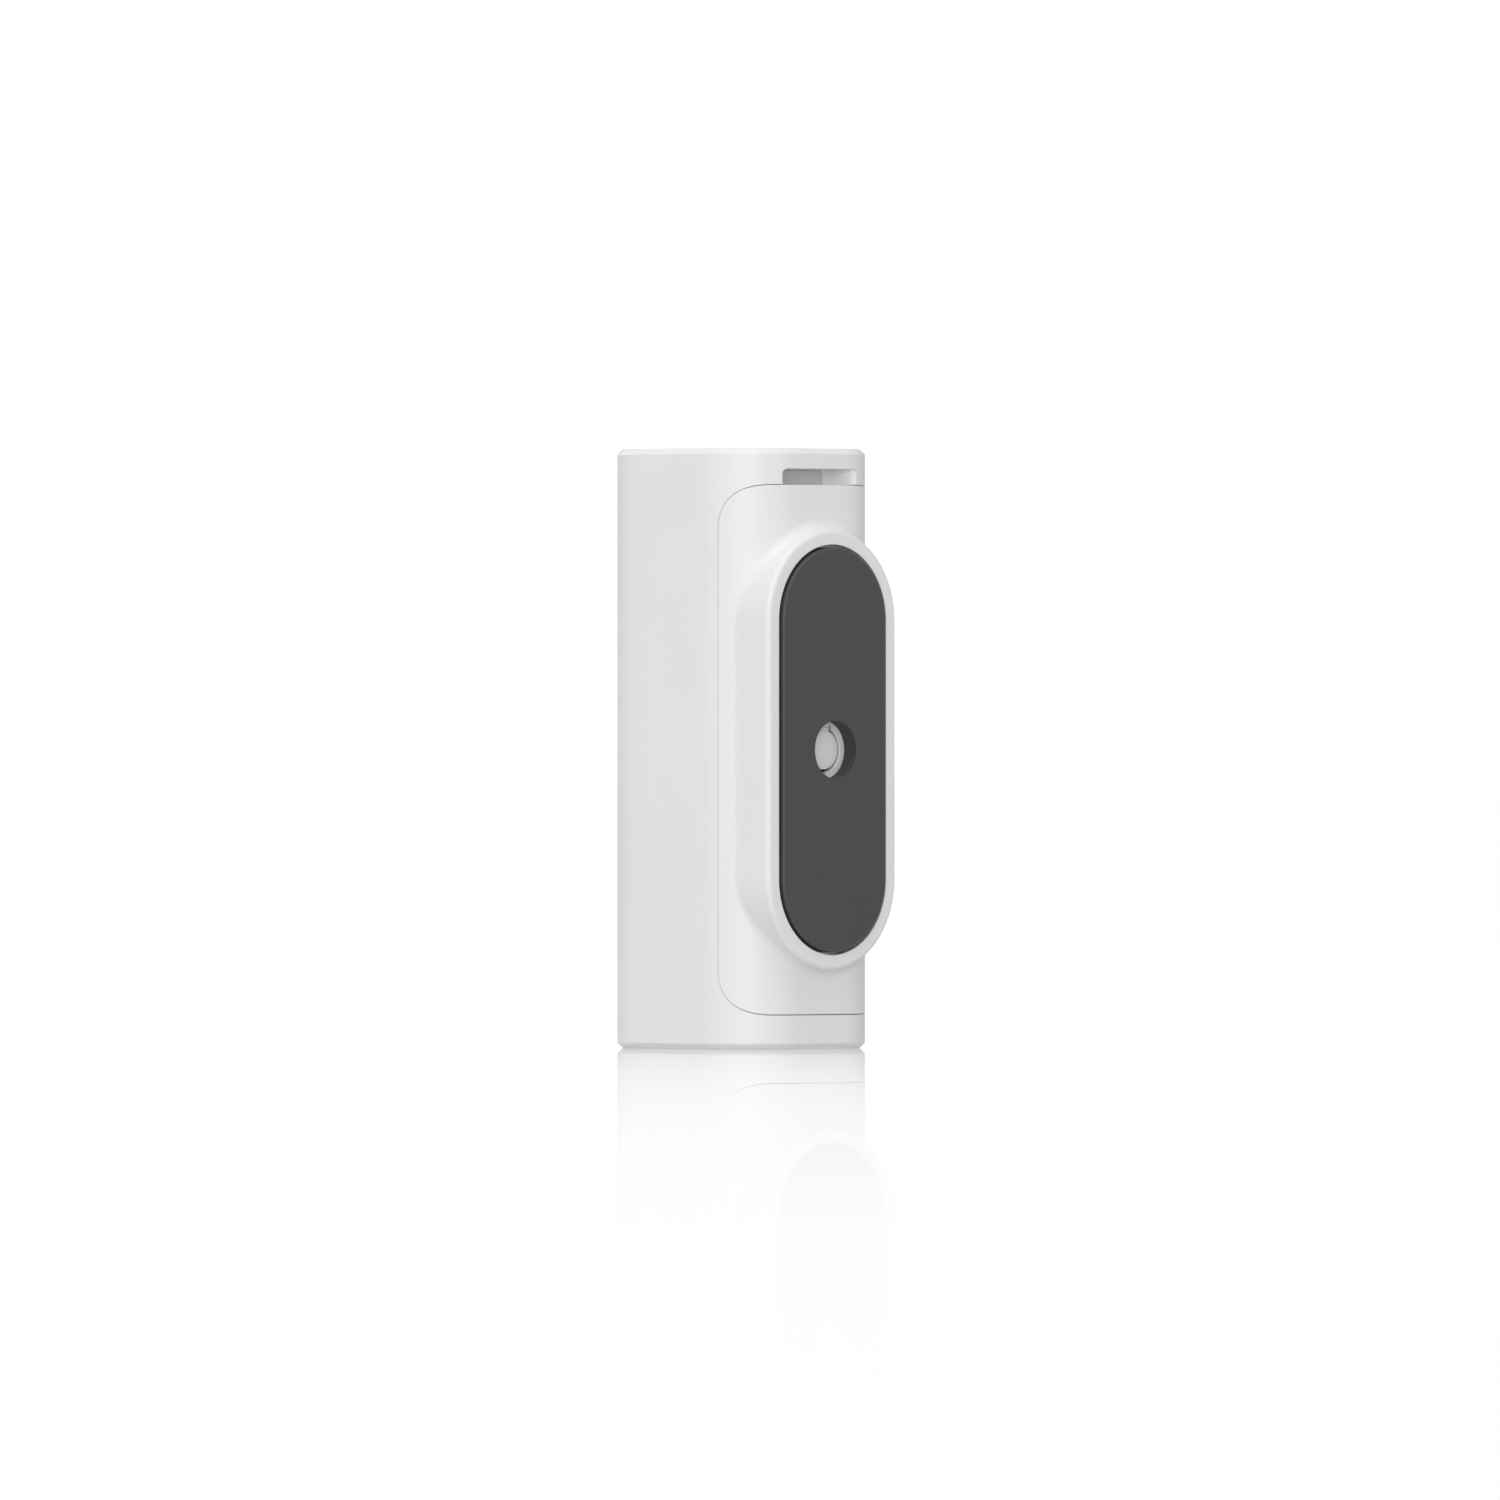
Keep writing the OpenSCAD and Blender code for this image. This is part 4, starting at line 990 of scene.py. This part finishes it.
MATERIALS = {
    "white_shell": moulded("white_shell", (0.80, 0.81, 0.806), 0.40, specular=0.4),
    # Latch grey: partly the latch's own grey and partly painted shade. It is made darker to stand in for the
    # shade inside the release notch.
    "latch_grey": moulded("latch_grey", (0.67, 0.68, 0.676), 0.45),
    "pad_rubber": moulded("pad_rubber", (0.046, 0.046, 0.046), 0.45, grain=0.008, tint=0.03, specular=0.45),
    "seal_rubber": moulded("seal_rubber", (0.018, 0.018, 0.018), 0.7, grain=0.012, tint=0.05, specular=0.3),
    "black_gloss": moulded("black_gloss", (0.008, 0.0085, 0.010), 0.07, grain=0.0006, grain_scale=300.0,
                           specular=0.35),
    "button_black": moulded("button_black", (0.022, 0.023, 0.026), 0.34, grain=0.003),
    "window_glass": tinted_glass("window_glass", (0.006, 0.007, 0.009), 0.35),
    "lens_glass": lens_with_painted_sheen(),
    "ir_window": moulded("ir_window", (0.035, 0.004, 0.006), 0.06, grain=0.0006, coat=1.0),
    "milky_lens": moulded("milky_lens", (0.78, 0.78, 0.75), 0.30, grain=0.002, glow=0.4),
    "light_pipe": moulded("light_pipe", (0.70, 0.80, 0.85), 0.22, grain=0.001, glow=0.5, coat=0.6),
    "dark_plastic": moulded("dark_plastic", (0.032, 0.033, 0.035), 0.52, grain=0.012, grain_scale=1500.0,
                            tint=0.08),
    "chip_black": moulded("chip_black", (0.016, 0.016, 0.018), 0.45, grain=0.006, tint=0.1),
    "cone_grey": moulded("cone_grey", (0.08, 0.08, 0.088), 0.6, grain=0.02, grain_scale=900.0, tint=0.1),
    "sensor_blue": moulded("sensor_blue", (0.05, 0.08, 0.14), 0.12, grain=0.001, tint=0.25, coat=0.8),
    "circuit_board": circuit_board(),
    "led_clear": moulded("led_clear", (0.50, 0.48, 0.58), 0.10, grain=0.001, glow=0.5, coat=0.8),
    "led_white": moulded("led_white", (0.85, 0.80, 0.50), 0.25, grain=0.002, tint=0.08),
    "plated_steel": metal("plated_steel", (0.62, 0.63, 0.64), 0.26, (1, 1, 0.1)),
    "plated_gold": metal("plated_gold", (0.72, 0.54, 0.22), 0.24),
    "connector_cream": moulded("connector_cream", (0.66, 0.60, 0.48), 0.4, grain=0.005, tint=0.05),
    "screw_steel": metal("screw_steel", (0.42, 0.43, 0.45), 0.3),
    "copper_flex": flexible_circuit(),
    "cell_wrap": moulded("cell_wrap", (0.02, 0.15, 0.085), 0.28, grain_scale=700.0, tint=0.06, coat=0.4),
    "cell_metal": metal("cell_metal", (0.60, 0.61, 0.62), 0.3),
    "spring_steel": metal("spring_steel", (0.55, 0.56, 0.57), 0.22, (0.2, 0.2, 1)),
    "plunger_white": moulded("plunger_white", (0.72, 0.72, 0.70), 0.42, tint=0.03),
}
for row in frame["record"]["subparts"]:
    for slot in frame["nodes"][row["node"]].material_slots:
        slot.material = MATERIALS[row["material_slot"]]

BOXY_NODES = [
    "board_chips", "shield_can", "board_connectors", "usb_socket", "reset_switch", "button_switch",
    "tamper_switch", "lens_holder", "battery_contacts", "ring_leds", "microphone", "image_sensor",
    "battery_tray",
]
for node in BOXY_NODES:
    weld = frame["nodes"][node].modifiers.new("weld", "WELD")
    weld.merge_threshold = 0.001 * MM
    bevel = frame["nodes"][node].modifiers.new("edges", "BEVEL")
    bevel.width = 0.12 * MM
    bevel.segments = 2
    bevel.angle_limit = math.radians(50)
    bevel.harden_normals = True


# ---- Pieces ----


def add(piece, body, node, slot):
    finish_piece(piece)
    piece.data.materials.append(MATERIALS[slot])
    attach(piece, body)
    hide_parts(node)


cells = build_cells()
add(cells, "root", "battery_cells", "cell_wrap")
cells.data.materials.append(MATERIALS["cell_metal"])
bare_cell_ends(cells)

add(build_housing(), "root", "housing", "white_shell")
add(build_fascia(), "root", "front_fascia", "black_gloss")
add(build_window(), "root", "camera_window", "window_glass")
add(build_lens(), "root", "lens_glass", "lens_glass")
add(build_motion_lens(), "root", "pir_lens", "milky_lens")
add(build_light_ring(), "root", "light_ring", "light_pipe")
add(build_ir_windows(), "root", "ir_windows", "ir_window")
for node, towards, head_h, shank_r in SCREWS:
    add(build_screws(node + "_set", node, towards, head_h, shank_r), "root", node, "screw_steel")
for name, node, wire_r, turns, axis in SPRINGS:
    add(build_springs(name, node, wire_r, turns, axis), "root", node, "spring_steel")
add(build_cover(), "rear_cover", "rear_cover", "white_shell")
add(build_pad(), "rear_cover", "wall_pad", "pad_rubber")
add(build_flap(), "tamper_flap", "tamper_flap", "white_shell")
add(build_latch(), "release_latch", "release_latch", "latch_grey")
add(build_button(), "bell_button", "bell_button", "button_black")


# ---- Studio ----

FLOOR_FADE = 0.6
FLOOR_POLISH = 0.85
WORLD_LEVEL = 0.59
WORLD_TILT = (-0.05, 0.07, 0.12)
DOME_R = 55.0
GLOSS_LEVEL = 0.55
GLOSS_TILT = (0.12, 0.3, 0.3)
BACKDROP_LEVEL = 1.05

AZIMUTH = math.radians(135)
RIGHT = Vector((math.cos(AZIMUTH), math.sin(AZIMUTH), 0))
TOWARDS = Vector((math.sin(AZIMUTH), -math.cos(AZIMUTH), 0))
UP = Vector((0, 0, 1))


def view_vector(direction):
    """World vector from (right, up, towards the camera) parts."""
    return RIGHT * direction[0] + UP * direction[1] + TOWARDS * direction[2]


def link_mesh(name, bm):
    mesh = bpy.data.meshes.new(name)
    bm.to_mesh(mesh)
    bm.free()
    return new_object(name, mesh)


def build_floor():
    """White floor whose polish shows a soft reflection that fades away from the object."""
    bm = bmesh.new()
    bmesh.ops.create_circle(bm, cap_ends=True, segments=128, radius=60.0)
    floor = link_mesh("floor", bm)
    material, nodes, links, shader = new_material("floor")
    nodes.remove(shader)
    glow = nodes.new("ShaderNodeEmission")
    glow.inputs["Color"].default_value = (1, 1, 1, 1)
    glow.inputs["Strength"].default_value = 1.0
    mirror = nodes.new("ShaderNodeBsdfGlossy")
    mirror.inputs["Roughness"].default_value = 0.0
    mirror.inputs["Color"].default_value = (1, 1, 1, 1)
    where = nodes.new("ShaderNodeTexCoord")
    length = nodes.new("ShaderNodeVectorMath")
    length.operation = "LENGTH"
    links.new(where.outputs["Object"], length.inputs[0])
    falloff = math_node(nodes, links, "MULTIPLY", length.outputs["Value"], -1 / FLOOR_FADE)
    falloff = math_node(nodes, links, "EXPONENT", falloff)
    share = math_node(nodes, links, "MULTIPLY", falloff, FLOOR_POLISH)
    mixed = nodes.new("ShaderNodeMixShader")
    links.new(share, mixed.inputs[0])
    links.new(glow.outputs[0], mixed.inputs[1])
    links.new(mirror.outputs[0], mixed.inputs[2])
    links.new(mixed.outputs[0], nodes["Material Output"].inputs["Surface"])
    floor.data.materials.append(material)
    floor.visible_diffuse = False


def build_backdrop():
    """White dome; soft reflections see it dimmer than the camera does, and dimmest below and behind."""
    bm = bmesh.new()
    bmesh.ops.create_uvsphere(bm, u_segments=64, v_segments=32, radius=DOME_R)
    dome = link_mesh("backdrop", bm)
    material, nodes, links, shader = new_material("backdrop")
    nodes.remove(shader)
    where = nodes.new("ShaderNodeTexCoord")
    facing = nodes.new("ShaderNodeVectorMath")
    facing.operation = "DOT_PRODUCT"
    facing.inputs[1].default_value = view_vector(GLOSS_TILT) / DOME_R
    links.new(where.outputs["Object"], facing.inputs[0])
    soft = math_node(nodes, links, "ADD", facing.outputs["Value"], GLOSS_LEVEL)
    path = nodes.new("ShaderNodeLightPath")
    seen = nodes.new("ShaderNodeMath")
    seen.operation = "MAXIMUM"
    links.new(path.outputs["Is Camera Ray"], seen.inputs[0])
    links.new(path.outputs["Is Singular Ray"], seen.inputs[1])
    choose = nodes.new("ShaderNodeMix")
    choose.inputs["B"].default_value = BACKDROP_LEVEL
    links.new(seen.outputs[0], choose.inputs["Factor"])
    links.new(soft, choose.inputs["A"])
    glow = nodes.new("ShaderNodeEmission")
    glow.inputs["Color"].default_value = (1, 1, 1, 1)
    links.new(choose.outputs["Result"], glow.inputs["Strength"])
    links.new(glow.outputs[0], nodes["Material Output"].inputs["Surface"])
    dome.data.materials.append(material)
    dome.visible_diffuse = False
    dome.visible_shadow = False


def build_world():
    """Even white surroundings, a little brighter towards one fixed direction."""
    world = bpy.data.worlds.new("studio")
    bpy.context.scene.world = world
    world.use_nodes = True
    nodes, links = world.node_tree.nodes, world.node_tree.links
    where = nodes.new("ShaderNodeTexCoord")
    facing = nodes.new("ShaderNodeVectorMath")
    facing.operation = "DOT_PRODUCT"
    facing.inputs[1].default_value = view_vector(WORLD_TILT)
    links.new(where.outputs["Generated"], facing.inputs[0])
    strength = math_node(nodes, links, "ADD", facing.outputs["Value"], WORLD_LEVEL)
    nodes["Background"].inputs["Color"].default_value = (1, 1, 1, 1)
    links.new(strength, nodes["Background"].inputs["Strength"])


def area_light(name, direction, distance, size, power):
    """A soft square light; direction is (image right, up, towards the camera)."""
    data = bpy.data.lights.new(name, "AREA")
    data.shape = "SQUARE"
    data.size = size
    data.energy = power
    lamp = bpy.data.objects.new(name, data)
    bpy.context.scene.collection.objects.link(lamp)
    along = view_vector(direction).normalized()
    lamp.location = UP * (BODY_H / 2 * MM) + along * distance
    lamp.rotation_euler = (-along).to_track_quat("-Z", "Y").to_euler()
    lamp.visible_camera = False
    return lamp


def build_camera():
    data = bpy.data.cameras.new("camera")
    data.lens = 600.0
    data.sensor_width = 36.0
    data.clip_end = 200.0
    camera = bpy.data.objects.new("camera", data)
    bpy.context.scene.collection.objects.link(camera)
    aim = RIGHT * 1.93 * MM + UP * 64.7 * MM
    camera.location = aim + TOWARDS * 5.43
    camera.rotation_euler = (-TOWARDS).to_track_quat("-Z", "Y").to_euler()
    bpy.context.scene.camera = camera


build_floor()
build_backdrop()
build_world()
area_light("key", (-0.08, 0.10, 1.0), 3.0, 1.4, 29.0)
area_light("overhead", (-0.1, 1.0, 0.35), 3.5, 2.0, 34.0)
area_light("front", (-0.9, 0.5, -1.0), 3.0, 1.0, 12.0)
build_camera()
bpy.context.scene.view_settings.view_transform = "Standard"
